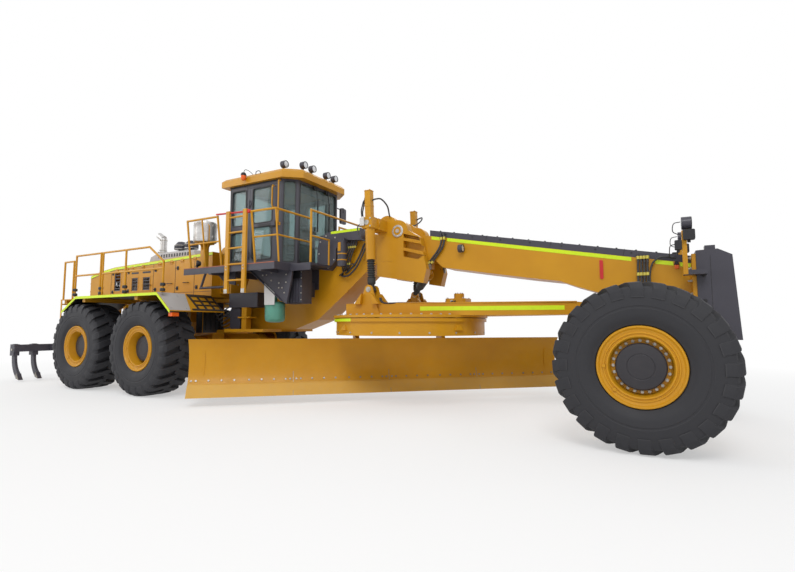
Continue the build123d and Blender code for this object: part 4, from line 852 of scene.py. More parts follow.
@detail("black", body="rear_frame", once=True)
def cabinet_seams(form):
    """Door seams on both sides of the service cabinet."""
    low, high = box_of("service_cabinet")
    near, far = low.x + 0.05, high.x - 0.05
    for inner, outer in ((-high.y - SEAM, -high.y), (high.y, high.y + SEAM)):
        for x in (near, far):
            form.block((x - 0.004, inner, 2.2), (x + 0.004, outer, 3.05))
        for z in (2.2, 3.05):
            form.block((near, inner, z - 0.004), (far, outer, z + 0.004))


@detail("zinc", 0.001, "rear_frame", once=True)
def cabinet_hardware(form):
    """Hinge barrels and lift handles of the service cabinet."""
    low, high = box_of("service_cabinet")
    for _, sign in SIDES:
        y, x = sign * high.y, low.x + 0.1
        for z in (2.35, 2.9):
            form.rod((high.x - 0.05, y + sign * 0.01, z), (high.x - 0.05, y + sign * 0.01, z + 0.1), 0.011, 12)
        form.tube([(x, y, 2.6), (x, y + sign * 0.04, 2.6), (x, y + sign * 0.04, 2.74), (x, y, 2.74)], 0.008, 8)


@detail("zinc", 0.001, "rear_frame", once=True)
def cabinet_bolts(form):
    """Bolts on the service cabinet's front."""
    front = box_of("service_cabinet")[1].x
    form.bolts([(front, y, z) for y in (-0.3, 0.3) for z in (2.35, 2.65, 2.95)], AHEAD, 0.024)


def stud_rows(form, x, y, z, pitch=0.09):
    """Raised bars of a non-slip deck, laid alternately each way."""
    for i in range(int((x[1] - x[0]) / pitch)):
        for j in range(int((y[1] - y[0]) / pitch)):
            centre = Vector((x[0] + (i + 0.5) * pitch, y[0] + (j + 0.5) * pitch, z))
            out = spoke(0.7 if (i + j) % 2 else -0.7)
            along, over = out * pitch * 0.34, Vector((-out.y, out.x, 0)) * pitch * 0.08
            form.skin([[centre + along * end * reach + over * side * wide + Vector((0, 0, lift))
                for end, side in ((-1, -1), (1, -1), (1, 1), (-1, 1))]
                for reach, wide, lift in ((1, 1, 0), (0.8, 0.4, 0.004))])


@detail("gold", body="rear_frame")
def deck_studs(form):
    """Non-slip bars of the rear deck."""
    stud_rows(form, (-4.55, -1.75), (FENDER_SIDE + 0.05, -0.85), DECK)


@detail("panel", 0.001, "rear_frame")
def fender_plate(form):
    """Bare steel plate on the fender's front slope."""
    x, z, far_x, far_z = SLOPE
    form.skin([[(x, FENDER_SIDE + 0.012, z + lift), (far_x, FENDER_SIDE + 0.012, far_z + lift),
        (far_x, -1.64, far_z + lift), (x, -1.47, z + lift)] for lift in (0.0, 0.006)])
    for y in (FENDER_SIDE + 0.07, -1.7):
        form.bolts([(x + 0.07, y, z - 0.054), (far_x - 0.05, y, far_z + 0.047)], (0.646, 0, 0.763), 0.024)


@detail("black", body="rear_frame")
def fender_liner(form):
    """Black sheet beneath the deck and its two slopes, painted shade for the shadowed space under the fender."""
    run = [(-5.13, 1.74), (-4.59, 2.052), (-1.71, 2.052), (FENDER_FRONT - 0.02, 1.7)]
    for (x, z), (far, tall) in zip(run, run[1:]):
        form.prism([(x, z), (far, tall), (far, tall + 0.004), (x, z + 0.004)], FENDER_SIDE + 0.03, -0.86)


@detail("beacon", 0.008, "rear_frame")
def fender_lamp(form):
    """Amber side lamp hung from the fender's front corner."""
    form.block((FENDER_FRONT - 0.12, FENDER_SIDE + 0.06, 1.6), (FENDER_FRONT - 0.01, FENDER_SIDE + 0.22, 1.68))


@detail("black", 0.002, "rear_frame")
def fender_lamp_case(form):
    """Lid and hanger of the side lamp."""
    form.block((FENDER_FRONT - 0.135, FENDER_SIDE + 0.045, 1.68), (FENDER_FRONT, FENDER_SIDE + 0.235, 1.69))
    form.block((FENDER_FRONT - 0.1, FENDER_SIDE + 0.12, 1.69), (FENDER_FRONT - 0.07, FENDER_SIDE + 0.16, 1.74))


@detail("gold", 0.001, "rear_frame")
def rail_feet(form):
    """Bolted foot plates of the rear deck's handrails."""
    y = FENDER_SIDE + 0.06
    for x in (-4.75, -3.765, -3.686, -2.85, -1.6):
        form.block((x - 0.05, y - 0.045, DECK), (x + 0.05, y + 0.045, DECK + 0.01))
        form.bolts([(x + side * 0.035, y + 0.03, DECK + 0.01) for side in (-1, 1)], UP, 0.018)


@detail("gold", 0.002, "rear_frame")
def tandem_cover(form):
    """Bolted pivot cover and inspection plates on the outer face of the tandem case."""
    y, z = -1.335, 0.96
    form.turned([(0.001, 0), (0.21, 0), (0.21, 0.02), (0.18, 0.035), (0.001, 0.035)], (-3.4, y, z), OUT)
    form.bolt_circle((-3.4, y - 0.02, z), OUT, 0.195, 16, 0.026)
    for x in (-4.1, -2.7):
        form.block((x - 0.16, y - 0.012, 0.82), (x + 0.16, y, 1.1))
        form.bolts([(x + end * 0.13, y - 0.012, z + side * 0.11) for end, side in CORNERS], OUT, 0.022)


SHANKS = (-1.925, -1.5, -0.8, 0.0, 0.8, 1.5, 1.925)


@detail("steel", 0.004, "ripper_beam", once=True)
def ripper_points(form):
    """Forged wear points of the seven shanks."""
    stations = ((-7.455, 0.165, 0.1, 0.045), (-7.4, 0.125, 0.075, 0.05), (-7.33, 0.082, 0.04, 0.052),
        (-7.285, 0.05, 0.006, 0.054))
    for y in SHANKS:
        form.skin([[(x + end * tall * 0.3, y + side * wide, z + end * tall * 0.45) for end, side in CORNERS]
            for x, z, tall, wide in stations])


@detail("zinc", 0.002, "ripper_beam", once=True)
def ripper_pins(form):
    """Pins of the points, and bolts and cross pins of the shanks."""
    back = box_of("ripper_beam")[0].x + 0.028
    for y in SHANKS:
        form.rod((-7.413, y - 0.055, 0.15), (-7.413, y + 0.055, 0.15), 0.014, 12)
        form.bolts([(back, y, 0.74), (back, y, 0.9)], (-1, 0, 0), 0.04)
        for side in (-1, 1):
            form.rod((-7.663, y + side * 0.06, 0.8), (-7.663, y + side * 0.085, 0.8), 0.03)


@detail("zinc", 0.002, "ripper_beam", once=True)
def ripper_link_pins(form):
    """Pin ends of the links, on both faces of each lug."""
    for y in (-1.17, -1.01, -0.67, -0.51, 0.51, 0.67, 1.01, 1.17):
        form.rod((-7.36, y - 0.004, 0.84), (-7.36, y + 0.004, 0.84), 0.062, 24)


# ------------------------------------------------------------------ frame and boom
BOOM_LINE = ((3.409, 3.036), (6.665, 2.422), (7.45, 2.275))
FRAME_SIDE = -0.3


def boom_height(x):
    """Height of the boom's top edge under its cover."""
    for (near, low), (far, high) in zip(BOOM_LINE, BOOM_LINE[1:]):
        if x <= far:
            return low + (high - low) * (x - near) / (far - near)
    return BOOM_LINE[-1][1]


@detail("lime")
def boom_tape(form):
    """Tape under the boom's cover, broken where the hoses and clips cross it."""
    for start, end in ((3.44, 3.6), (3.74, 6.655), (6.96, 7.185), (7.262, 7.395)):
        places = [start, 6.665, end] if start < 6.665 < end else [start, end]
        band(form, [(x, boom_height(x) - 0.004) for x in places], 0.058, FRAME_SIDE - 0.004, 0.004)


def hose_clamps(form, places, way, wide=0.03):
    """Small split clamps round hoses."""
    for place in places:
        centre = Vector(place)
        form.rod(centre - Vector(way) * wide / 2, centre + Vector(way) * wide / 2, 0.026, 14)
    return form


@detail("hose")
def boom_hoses(form):
    """Pressure lines that leave the cover and drop along the boom's side."""
    for step in range(2):
        x = 3.6 + 0.055 * step
        form.hose([(x, -0.27, 3.055), (x + 0.02, -0.325, 3.05), (x + 0.05, -0.345, 2.93), (x + 0.01, -0.35, 2.79),
            (x - 0.11, -0.345, 2.64), (x - 0.22, -0.335, 2.52), (x - 0.26, -0.3, 2.49)], 0.017)
    for step in range(4):
        x = 6.742 + 0.04 * step
        z = boom_height(x)
        form.hose([(x, -0.26, z + 0.035), (x, -0.33, z + 0.03), (x + 0.004, -0.348, z - 0.06), (x, -0.345, 2.3),
            (x - 0.004, -0.345, 2.08), (x - 0.01, -0.335, 1.86), (x - 0.012, -0.29, 1.74)], 0.016)
    form.hose([(6.9, -0.29, 1.8), (6.892, -0.345, 1.95), (6.888, -0.35, 2.15), (6.93, -0.35, 2.31),
        (7.02, -0.345, 2.385), (7.12, -0.335, 2.392), (7.2, -0.31, 2.372), (7.21, -0.28, 2.365)], 0.013)


@detail("brass", 0.002)
def boom_clamps(form):
    """Clamps and saddle clips of the boom's hoses."""
    for step in range(2):
        x = 3.6 + 0.055 * step
        hose_clamps(form, [(x + 0.048, -0.344, 2.96)], (0.1, 0, 0.99), 0.05)
        hose_clamps(form, [(x - 0.19, -0.338, 2.55)], (0.6, 0, 0.8), 0.05)
    for step in range(4):
        x = 6.742 + 0.04 * step
        hose_clamps(form, [(x + 0.003, -0.346, 2.4), (x, -0.345, 2.16)], UP, 0.045)
        form.block((x - 0.014, -0.352, boom_height(x) - 0.012), (x + 0.014, -0.3, boom_height(x) + 0.016))


@detail("steel", 0.003)
def boom_blocks(form):
    """Bulkhead blocks that the hoses run into."""
    form.block((3.27, -0.35, 2.42), (3.44, -0.3, 2.53))
    form.bolts([(3.3, -0.35, 2.475), (3.41, -0.35, 2.475)], OUT, 0.022)
    for x in (3.32, 3.36):
        form.rod((x, -0.325, 2.42), (x, -0.325, 2.37), 0.018, 12)


@detail("beacon", 0.006, once=True)
def boom_marker(form):
    """Amber side marker near the boom's nose."""
    form.block((7.2, FRAME_SIDE - 0.02, 2.215), (7.25, FRAME_SIDE, 2.27))


@detail("black", 0.003, once=True)
def boom_marker_cap(form):
    """Hood and stud over the side marker."""
    form.rod((7.225, FRAME_SIDE - 0.02, 2.3), (7.225, FRAME_SIDE, 2.3), 0.026)
    form.block((7.195, FRAME_SIDE - 0.012, 2.272), (7.255, FRAME_SIDE, 2.292))


@detail("red", 0.003, once=True)
def boom_reflector(form):
    """Red bar on the boom's side."""
    form.prism(rounded([(6.222, 2.12), (6.272, 2.115), (6.272, 2.4), (6.222, 2.41)], 0.02), FRAME_SIDE - 0.016,
        FRAME_SIDE)


@detail("black")
def boom_cover_bolts(form):
    """Screws along the lid's two long edges."""
    rise = 0.105
    for step in range(15):
        x = 3.6 + step * 0.26
        form.bolt((x, -0.262, boom_height(x) + rise), (0.19, 0, 1), 0.026)
    for step in range(8):
        x = 3.72 + step * 0.49
        form.bolt((x, -0.3, boom_height(x) + 0.06), OUT, 0.018)


@detail("black", once=True)
def cover_seams(form):
    """Joints between the lid's sheets."""
    for x in (4.45, 5.5, 6.55):
        z = boom_height(x)
        form.prism([(x - 0.004, z + 0.006), (x + 0.004, z + 0.006), (x + 0.024, z + 0.106),
            (x + 0.016, z + 0.106)], -0.302, 0.302)
        form.prism([(x + 0.016, z + 0.103), (x + 0.024, z + 0.1018), (x + 0.024, z + 0.1035),
            (x + 0.016, z + 0.105)], -0.29, 0.29)


@detail("gold", 0.004)
def front_flange(form):
    """Bolted flange where the push block meets the frame."""
    low = box_of("nose_box")[0]
    form.block((low.x - 0.051, low.y + 0.01, 1.42), (low.x - 0.001, FRAME_SIDE + 0.001, 2.4))


@detail("zinc", 0.001)
def flange_bolts(form):
    """Bolts of the front flange and their shanks."""
    low = box_of("nose_box")[0]
    for z in (1.55, 1.7, 1.85, 2.03, 2.2, 2.345):
        form.rod((low.x - 0.105, low.y + 0.07, z), (low.x - 0.05, low.y + 0.07, z), 0.012, 10)
        form.bolt((low.x - 0.051, low.y + 0.07, z), (-1, 0, 0), 0.036)


@detail("black", 0.002, once=True)
def nose_bolts(form):
    """Bolts of the push block's face and sides."""
    low, high = box_of("nose_box")
    form.bolts([(high.x - 0.053 * (z - 1.23) - 0.021, y, z) for y in (-0.34, -0.12, 0.12, 0.34)
        for z in (1.36, 1.62, 2.05)], (1, 0, 0.053), 0.042)
    for _, sign in SIDES:
        form.bolts([(low.x + 0.08, sign * high.y, z) for z in (1.4, 1.75, 2.1)], (0, sign, 0), 0.036)


@detail("black", once=True)
def nose_seams(form):
    """Seams on the push block's two sides."""
    low, high = box_of("nose_box")
    for near, far in ((-high.y - 0.002, -high.y), (high.y, high.y + 0.002)):
        form.block((low.x + 0.16, near, 1.3), (low.x + 0.165, far, 2.36))
        form.block((low.x + 0.16, near, 1.3), (low.x + 0.4, far, 1.305))


@detail("gold", 0.003)
def lamp_masts(form):
    """Painted mast at the front of the boom."""
    form.block((7.286, -0.622, 2.1), (7.344, -0.558, 2.7))


@detail("black", 0.003)
def mast_lamps(form):
    """Boxed lamps beside the mast."""
    form.slab((7.3, 2.56), (7.44, 2.7), 0.02, -0.69, -0.6)
    form.slab((7.2, 2.44), (7.286, 2.57), 0.015, -0.64, -0.56)
    for x, z in ((7.37, 2.63), (7.24, 2.5)):
        form.block((x - 0.02, -0.61, z - 0.1), (x + 0.02, -0.6, z - 0.05))


@detail("hose")
def mast_leads(form):
    """Leads of the mast's lamps."""
    form.hose([(7.28, -0.6, 2.82), (7.2, -0.61, 2.8), (7.185, -0.61, 2.7), (7.23, -0.6, 2.66),
        (7.29, -0.59, 2.64)], 0.006, 8)
    form.hose([(7.21, -0.6, 2.52), (7.15, -0.6, 2.5), (7.14, -0.5, 2.44), (7.14, -0.34, 2.4), (7.13, -0.27, 2.4)],
        0.006, 8)


@detail("lens", 0.001)
def front_lenses(form):
    """Lens of the work lamp on the mast."""
    form.turned([(0.001, 0.0), (0.066, 0.0), (0.0594, 0.012), (0.001, 0.02)], (7.4, -0.59, 2.8), AHEAD, 32)


@detail("bright", 0.002)
def saddle_caps(form):
    """Pin cover of the saddle with its bolts and grease point."""
    x, z, radius = 2.84, 3.148, 0.115
    form.turned([(0.076, 0.0), (radius, 0.0), (radius, 0.012), (radius - 0.01, 0.02), (0.076, 0.02)],
        (x, -0.48, z), OUT, 48)
    form.bolt_circle((x, -0.499, z), OUT, radius - 0.02, 8, 0.02)
    form.cap(0.04, 0.035, 0.012, (x, -0.498, z), OUT, 24)


@detail("gold", 0.001)
def saddle_welds(form):
    """Raised edge plates between the saddle's slots and down its front."""
    for run in (((2.97, 3.105), (3.27, 3.02)), ((2.97, 2.978), (3.32, 2.89)), ((2.97, 2.797), (3.38, 2.685))):
        (x, z), (far, low) = run
        form.prism([(x, z), (far, low), (far, low - 0.018), (x, z - 0.018)], -0.492, -0.478)
    form.prism([(2.46, 2.62), (2.75, 2.6), (2.75, 2.594), (2.46, 2.614)], -0.484, -0.48)


@detail("hose")
def gooseneck_hoses(form):
    """Loose runs of hose between the gooseneck and the saddle."""
    form.hose([(2.05, -0.28, 3.03), (2.02, -0.34, 2.98), (1.96, -0.38, 2.8), (1.86, -0.4, 2.62),
        (1.72, -0.39, 2.5), (1.6, -0.33, 2.46), (1.58, -0.28, 2.47)], 0.018)
    form.hose([(2.1, -0.28, 3.0), (2.08, -0.36, 2.93), (2.02, -0.41, 2.76), (1.9, -0.42, 2.55), (1.7, -0.39, 2.4),
        (1.52, -0.36, 2.4), (1.5, -0.28, 2.46)], 0.018)
    form.hose([(1.8, -0.28, 2.6), (1.78, -0.36, 2.62), (1.68, -0.4, 2.58), (1.55, -0.38, 2.46),
        (1.44, -0.33, 2.42), (1.42, -0.28, 2.44)], 0.012)


@detail("gold")
def frame_fold(form):
    """Weld line along the gooseneck's inner plate."""
    run = [(0.596, 1.808), (0.824, 1.852), (1.903, 2.608)]
    for (x, z), (far, high) in zip(run, run[1:]):
        form.prism([(x, z), (far, high), (far, high - 0.012), (x, z - 0.012)], FRAME_SIDE - 0.003, FRAME_SIDE)


# ------------------------------------------------------------------ lift and centre-shift cylinders
LIFT_TOP = Vector((2.5, -0.9, 3.25))
LIFT_EYE = Vector((2.55, -0.9, 2.05))
LIFT_WAY = (LIFT_EYE - LIFT_TOP).normalized()
LIFT_SPAN = (LIFT_EYE - LIFT_TOP).length


def on_lift(along):
    """Place along the axis of the right-hand lift cylinder."""
    return LIFT_TOP + LIFT_WAY * along


def bellows_profile(start, end, inner, outer, pitch):
    """(radius, along) rows of a corrugated sleeve."""
    folds = max(2, round((end - start) / pitch))
    pitch = (end - start) / folds
    rows = [(inner * 0.6, start), (inner, start)]
    for fold in range(folds):
        base = start + fold * pitch
        rows += [(inner, base + pitch * 0.15), (outer, base + pitch * 0.42), (outer, base + pitch * 0.62),
            (inner, base + pitch * 0.9)]
    return rows + [(inner, end), (inner * 0.6, end)]


def lift_rod_form():
    """Rod with its bellows and the eye, in the right-hand cylinder's place."""
    form = Form()
    form.rod(on_lift(-0.15), on_lift(0.36), 0.038, 32)
    form.turned(bellows_profile(0.335, LIFT_SPAN - 0.2, 0.056, 0.0735, 0.042), LIFT_TOP, LIFT_WAY, 40)
    form.turned([(0.03, LIFT_SPAN - 0.205), (0.072, LIFT_SPAN - 0.205), (0.073, LIFT_SPAN - 0.12),
        (0.06, LIFT_SPAN - 0.095), (0.03, LIFT_SPAN - 0.095)], LIFT_TOP, LIFT_WAY, 40)
    form.rod(on_lift(LIFT_SPAN - 0.1), on_lift(LIFT_SPAN - 0.02), 0.05, 32)
    form.turned([(0.028, -0.06), (0.058, -0.06), (0.062, -0.05), (0.062, 0.05), (0.058, 0.06), (0.028, 0.06)],
        LIFT_EYE, ACROSS, 48)
    return form


@detail("zinc", 0.002, "drawbar")
def lift_pins(form):
    """Pins through the lift eyes, with keeper plates on the drawbar's cheeks."""
    form.rod((2.55, -1.035, 2.05), (2.55, -0.765, 2.05), 0.03, 32)
    for y, way in ((-1.017, -1), (-0.783, 1)):
        form.cap(0.05, 0.045, 0.012, (2.55, y, 2.05), (0, way, 0))
        form.bolt((2.55, y + way * 0.012, 2.05), (0, way, 0), 0.024)


@detail("zinc", 0.001, "lift_barrel_{side}")
def lift_collar_bolts(form):
    """Cap screws and trunnion cover of the lift barrel."""
    form.bolts([LIFT_TOP + Vector((0.07, -0.1, dz)) for dz in (-0.07, 0.07)], OUT, 0.024)
    form.cap(0.045, 0.045, 0.012, LIFT_TOP + Vector((0, -0.1, 0)), OUT)


@detail("bright", 0.002, "lift_barrel_{side}")
def lift_valve(form):
    """Lock valve on the outer face of the lift collar."""
    form.block((2.375, -1.045, 3.19), (2.465, -0.998, 3.33))
    form.bolts([(2.395, -1.045, 3.205), (2.445, -1.045, 3.205), (2.395, -1.045, 3.315), (2.445, -1.045, 3.315)],
        OUT, 0.012)
    for x in (2.4, 2.44):
        form.rod((x, -1.022, 3.33), (x, -1.022, 3.355), 0.013, 6)


@detail("hose", body="lift_barrel_{side}")
def lift_hoses(form):
    """Two lines up the rear of the guard tube."""
    form.hose([(2.37, -0.925, 3.37), (2.362, -0.925, 3.46), (2.39, -0.93, 3.58), (2.41, -0.925, 3.72),
        (2.43, -0.91, 3.79)], 0.012)
    form.hose([(2.37, -0.965, 3.37), (2.36, -0.965, 3.48), (2.38, -0.968, 3.56), (2.4, -0.955, 3.65),
        (2.43, -0.94, 3.68)], 0.012)
    form.hose([(2.31, -0.942, 3.24), (2.27, -0.942, 3.2), (2.28, -0.945, 3.08), (2.34, -0.95, 2.98),
        (2.42, -0.93, 2.93)], 0.011)


@detail("gold", 0.002, "lift_barrel_{side}")
def lift_guard_cap(form):
    """Lid, screws and band of the square guard tube."""
    form.block((-0.064, -0.064, 0.588), (0.064, 0.064, 0.6))
    form.bolts([(x * 0.04, y * 0.04, 0.6) for x, y in CORNERS], UP, 0.02)
    for near, low, far, high in ((-0.062, -0.062, 0.062, -0.06), (-0.062, 0.06, 0.062, 0.062),
            (-0.062, -0.06, -0.06, 0.06), (0.06, -0.06, 0.062, 0.06)):
        form.block((near, low, 0.3), (far, high, 0.33))
    straight = Matrix.Rotation(math.atan2(-LIFT_WAY.x, -LIFT_WAY.z), 4, "Y")
    form.moved(Matrix.Translation(LIFT_TOP) @ straight)


def saddle_hoses():
    """Lines that bend across each lift cylinder's trunnion to the saddle."""
    for side, sign in SIDES:
        form = Form()
        form.hose([(2.55, -0.9, 3.66), (2.6, -0.89, 3.68), (2.7, -0.84, 3.68), (2.745, -0.7, 3.58),
            (2.7, -0.55, 3.47), (2.66, -0.46, 3.44)], 0.014)
        if sign > 0:
            form.moved(MIRROR)
        made = piece(f"saddle_hose_{side}", form, "front_frame", "hose", 0.0)
        made.parent = None
        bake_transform(made)


SHIFT_TOP = Vector((3.354, -0.19, 2.395))
SHIFT_FOOT = Vector((2.6, 0.69, 2.06))
SHIFT_WAY = (SHIFT_FOOT - SHIFT_TOP).normalized()
SHIFT_SPAN = (SHIFT_FOOT - SHIFT_TOP).length


def on_shift(along):
    """Place along the axis of the centre-shift cylinder."""
    return SHIFT_TOP + SHIFT_WAY * along


@detail("gold", 0.002, "shift_barrel", once=True)
def shift_flange(form):
    """Gland flange of the centre-shift cylinder and its screws."""
    form.turned([(0.05, 0.105), (0.105, 0.105), (0.105, 0.16), (0.072, 0.165), (0.05, 0.165)], SHIFT_TOP,
        SHIFT_WAY, 48)
    form.bolt_circle(on_shift(0.105), -SHIFT_WAY, 0.088, 8, 0.024)


@detail("bright", 0.002, "shift_barrel", once=True)
def shift_head(form):
    """Bare end of the centre-shift barrel."""
    form.hoop(0.06, 0.0715, 0.165, 0.27, SHIFT_TOP, SHIFT_WAY)


@detail("rubber", 0.002, "shift_barrel", once=True)
def shift_sleeve(form):
    """Rubber sleeve over the centre-shift barrel."""
    form.turned([(0.06, 0.27), (0.078, 0.27), (0.082, 0.29), (0.082, 0.74), (0.078, 0.762), (0.0705, 0.762),
        (0.0705, 0.3), (0.06, 0.3)], SHIFT_TOP, SHIFT_WAY, 48)


@detail("hose", body="shift_barrel", once=True)
def shift_lines(form):
    """Two lines into the head of the centre-shift cylinder."""
    over = SHIFT_WAY.cross(Vector(UP)).normalized()
    up = over.cross(SHIFT_WAY).normalized()
    points = [(0.22, 0.04, 0.06), (0.2, 0.08, 0.12), (0.1, 0.1, 0.14), (0.02, 0.08, 0.12), (0.09, 0.05, 0.07)]
    for side in (-1, 1):
        form.hose([on_shift(along) + over * side * out + up * rise for along, out, rise in points], 0.011)


def shift_rod():
    """Rod of the centre-shift cylinder in its bellows, down to the ball."""
    boot = Form().turned(bellows_profile(0.765, SHIFT_SPAN - 0.168, 0.044, 0.057, 0.035), SHIFT_TOP, SHIFT_WAY, 40)
    end = SHIFT_SPAN - 0.058
    boot.rod(on_shift(0.52), on_shift(0.78), 0.035, 24)
    boot.turned([(0.001, end - 0.12), (0.032, end - 0.12), (0.032, end - 0.035), (0.048, end - 0.03), (0.048, end),
        (0.001, end)], SHIFT_TOP, SHIFT_WAY, 32)
    made = piece("shift_rod_booted", boot, "shift_rod", "rubber", 0.001)
    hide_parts("shift_rod")


# ------------------------------------------------------------------ drawbar, circle and blade
CIRCLE_CENTRE = Vector((2.85, 0, 0))
CIRCLE_RADIUS, TABLE_TOP = 1.385, 1.6


@detail("zinc", 0.001, "drawbar", once=True)
def table_bolts(form):
    """Screws round the drawbar's table."""
    form.bolt_circle((CIRCLE_CENTRE.x, 0, TABLE_TOP), UP, 1.37, 52, 0.034)


@detail("gold", 0.002, "drawbar")
def drawbar_edges(form):
    """Raised flanges along the drawbar's two beams."""
    form.prism([(2.1, -1.045), (3.25, -0.966), (5.86, -0.158), (5.86, -0.128), (3.245, -0.94), (2.1, -1.018)],
        1.7895, 1.806, "z")


@detail("lime", body="drawbar")
def drawbar_tape(form):
    """Tape on the outer face of the drawbar's beam."""
    start = Vector((3.25, -0.96, 0))
    way = (Vector((5.93, -0.11, 0)) - start).normalized()
    section = ((0, 1.668), (0.004, 1.668), (0.004, 1.738), (0, 1.738))
    form.skin([[start + way * along + Vector((way.y, -way.x, 0)) * proud + Vector((0, 0, z))
        for proud, z in section] for along in (0.25, 2.55)])


@detail("gold", 0.003, "drawbar")
def clevis_gussets(form):
    """Stiffeners at the feet of the lift cheeks."""
    for y in (-1.06, -0.74):
        wide = (y - 0.035, y + 0.035)
        for x, lean in ((2.4, -1), (2.7, 1)):
            form.prism([(x + lean * 0.1, 1.788), (x - lean * 0.03, 1.788), (x - lean * 0.05, 1.98)], *wide)


@detail("hose", body="drawbar")
def drawbar_hoses(form):
    """Hoses that lie on the drawbar from the drive round to the lift clevis."""
    for shift in (0.0, 0.045):
        form.hose([(3.78 + shift, -0.13, 1.87), (3.8 + shift, -0.24, 1.84), (3.79 + shift, -0.4, 1.803),
            (3.7, -0.56 - shift, 1.803), (3.46, -0.76 - shift, 1.803), (3.16, -0.9 - shift, 1.803),
            (2.88, -0.945 - shift, 1.803), (2.78, -0.93 - shift, 1.84), (2.74, -0.9 - shift, 1.9)], 0.013)


@detail("zinc", 0.001, "drawbar", once=True)
def motor_details(form):
    """Cap screws and ports of the circle drive."""
    low, high = box_of("circle_motor")
    form.bolt_circle((3.84, 0, 1.99), UP, 0.065, 8, 0.026)
    form.bolts([(3.84 + dx, dy, 1.9) for dx in (-0.16, 0.13) for dy in (-0.15, 0.15)], UP, 0.03)
    for y in (-0.06, 0.06):
        form.rod((low.x, y, 1.85), (low.x - 0.035, y, 1.85), 0.022, 6)
    for y in (low.y, high.y):
        form.rod((3.78, y, 1.85), (3.78, y + math.copysign(0.02, y), 1.85), 0.03, 6)


@detail("lime", body="circle", once=True)
def circle_tape(form):
    """Tape round the rim of the circle's flange."""
    section = ((1.4195, 1.49), (1.424, 1.49), (1.424, 1.54), (1.4195, 1.54))
    turns = [spoke(math.radians(-168 + step * 60 / 21)) for step in range(22)]
    form.skin([[CIRCLE_CENTRE + out * radius + Vector((0, 0, z)) for radius, z in section] for out in turns])


@detail("zinc", 0.001, "circle", once=True)
def circle_bolts(form):
    """Heads round the circle's outer band."""
    for step in range(18):
        out = spoke(math.tau * (step + 0.5) / 18)
        form.bolt(CIRCLE_CENTRE + out * CIRCLE_RADIUS + Vector((0, 0, 1.3)), out, 0.024)


@detail("gold", 0.002, "circle", once=True)
def circle_lugs(form):
    """Lifting lugs on the circle's outer band."""
    for step in range(4):
        out = spoke(math.radians(-118 + step * 90))
        over = Vector((-out.y, out.x, 0))
        base = CIRCLE_CENTRE + out * 1.383
        form.skin([[base + over * side * size + out * reach * (0.04 - lift * 0.3) + Vector((0, 0, 1.34 + lift))
            for side, reach in ((-1, 0), (1, 0), (1, 1), (-1, 1))] for size, lift in ((0.09, 0.0), (0.03, 0.09))])


BLADE_TURN, BLADE_LENGTH, BLADE_SHIFT = math.radians(-47.9), 7.315, -0.31
BLADE_PLACE = Matrix.Translation(CIRCLE_CENTRE) @ Matrix.Rotation(BLADE_TURN, 4, "Z")
BLADE_LOW, BLADE_HIGH = BLADE_SHIFT - BLADE_LENGTH / 2, BLADE_SHIFT + BLADE_LENGTH / 2
PLATE = BLADE_LENGTH / 4
FACE_RADIUS, FACE_X, FACE_Z = 0.75, 0.24, 0.735


def blade_face(z):
    """Front face of the moldboard at a height, in the blade's own frame."""
    return FACE_X - math.sqrt(FACE_RADIUS ** 2 - (z - FACE_Z) ** 2)


@detail("steel", body="blade", once=True)
def blade_bolts(form):
    """Plough bolts above the wearing plates, closer together beside each joint."""
    z = 0.435
    x = blade_face(z)
    way = Vector((FACE_X - x, 0, FACE_Z - z)).normalized()
    for plate in range(4):
        for share in (0.03, 0.075, 0.19, 0.31, 0.43, 0.57, 0.69, 0.81, 0.925, 0.97):
            place = Vector((x, BLADE_LOW + (plate + share) * PLATE, z))
            form.rod(place, place + way * 0.01, 0.017, 16)
            form.rod(place + way * 0.01, place + way * 0.014, 0.009, 6)
    form.moved(BLADE_PLACE)


def upright_seams(form, points, inner, outer):
    """Raised lines up the blade's face at the joints between its plates, through (x, z) points."""
    for joint in range(1, 4):
        y = BLADE_LOW + joint * PLATE
        form.skin([[(x + inner, y - 0.004, z), (x + outer, y - 0.004, z), (x + outer, y + 0.004, z),
            (x + inner, y + 0.004, z)] for x, z in points])
    form.moved(BLADE_PLACE)


@detail("steel", body="blade", once=True)
def blade_joints(form):
    """Weld lines of the moldboard above the joints of its wearing plates."""
    heights = [0.36 + step * 0.03 for step in range(8)]
    upright_seams(form, [(blade_face(z), z) for z in heights], -0.001, 0.0025)


@detail("worn_gold", body="blade", once=True)
def edge_lap(form):
    """Upper lip of the wearing plates."""
    section = ((0.35, -0.002, 0.35), (0.352, 0.022, 0.352), (0.372, 0.021, 0.37), (0.385, -0.002, 0.385))
    form.skin([[(blade_face(level) + proud, y, z) for level, proud, z in section]
        for y in (BLADE_LOW + 0.002, BLADE_HIGH - 0.002)])
    form.moved(BLADE_PLACE)


@detail("steel", body="blade", once=True)
def edge_joints(form):
    """Joints between the wearing plates."""
    top = 0.35
    slope = (blade_face(0.28) - blade_face(top)) / 0.07
    upright_seams(form, [(blade_face(top) + slope * (top - z) + proud, z)
        for z, proud in ((0.365, 0.024), (0.162, 0.031))], 0.0, 0.002)


@detail("gold", 0.001, "blade", once=True)
def blade_ribs(form):
    """Upright stiffeners behind the moldboard's two ends."""
    outline = [(-0.53, 0.44), (-0.5, 0.4), (-0.47, 0.44), (-0.5, 0.72), (-0.47, 0.98), (-0.5, 1.03), (-0.56, 0.98)]
    for share in (0.035, 0.965):
        y = BLADE_LOW + share * (BLADE_HIGH - BLADE_LOW)
        form.prism(outline, y - 0.012, y + 0.012)
    form.moved(BLADE_PLACE)


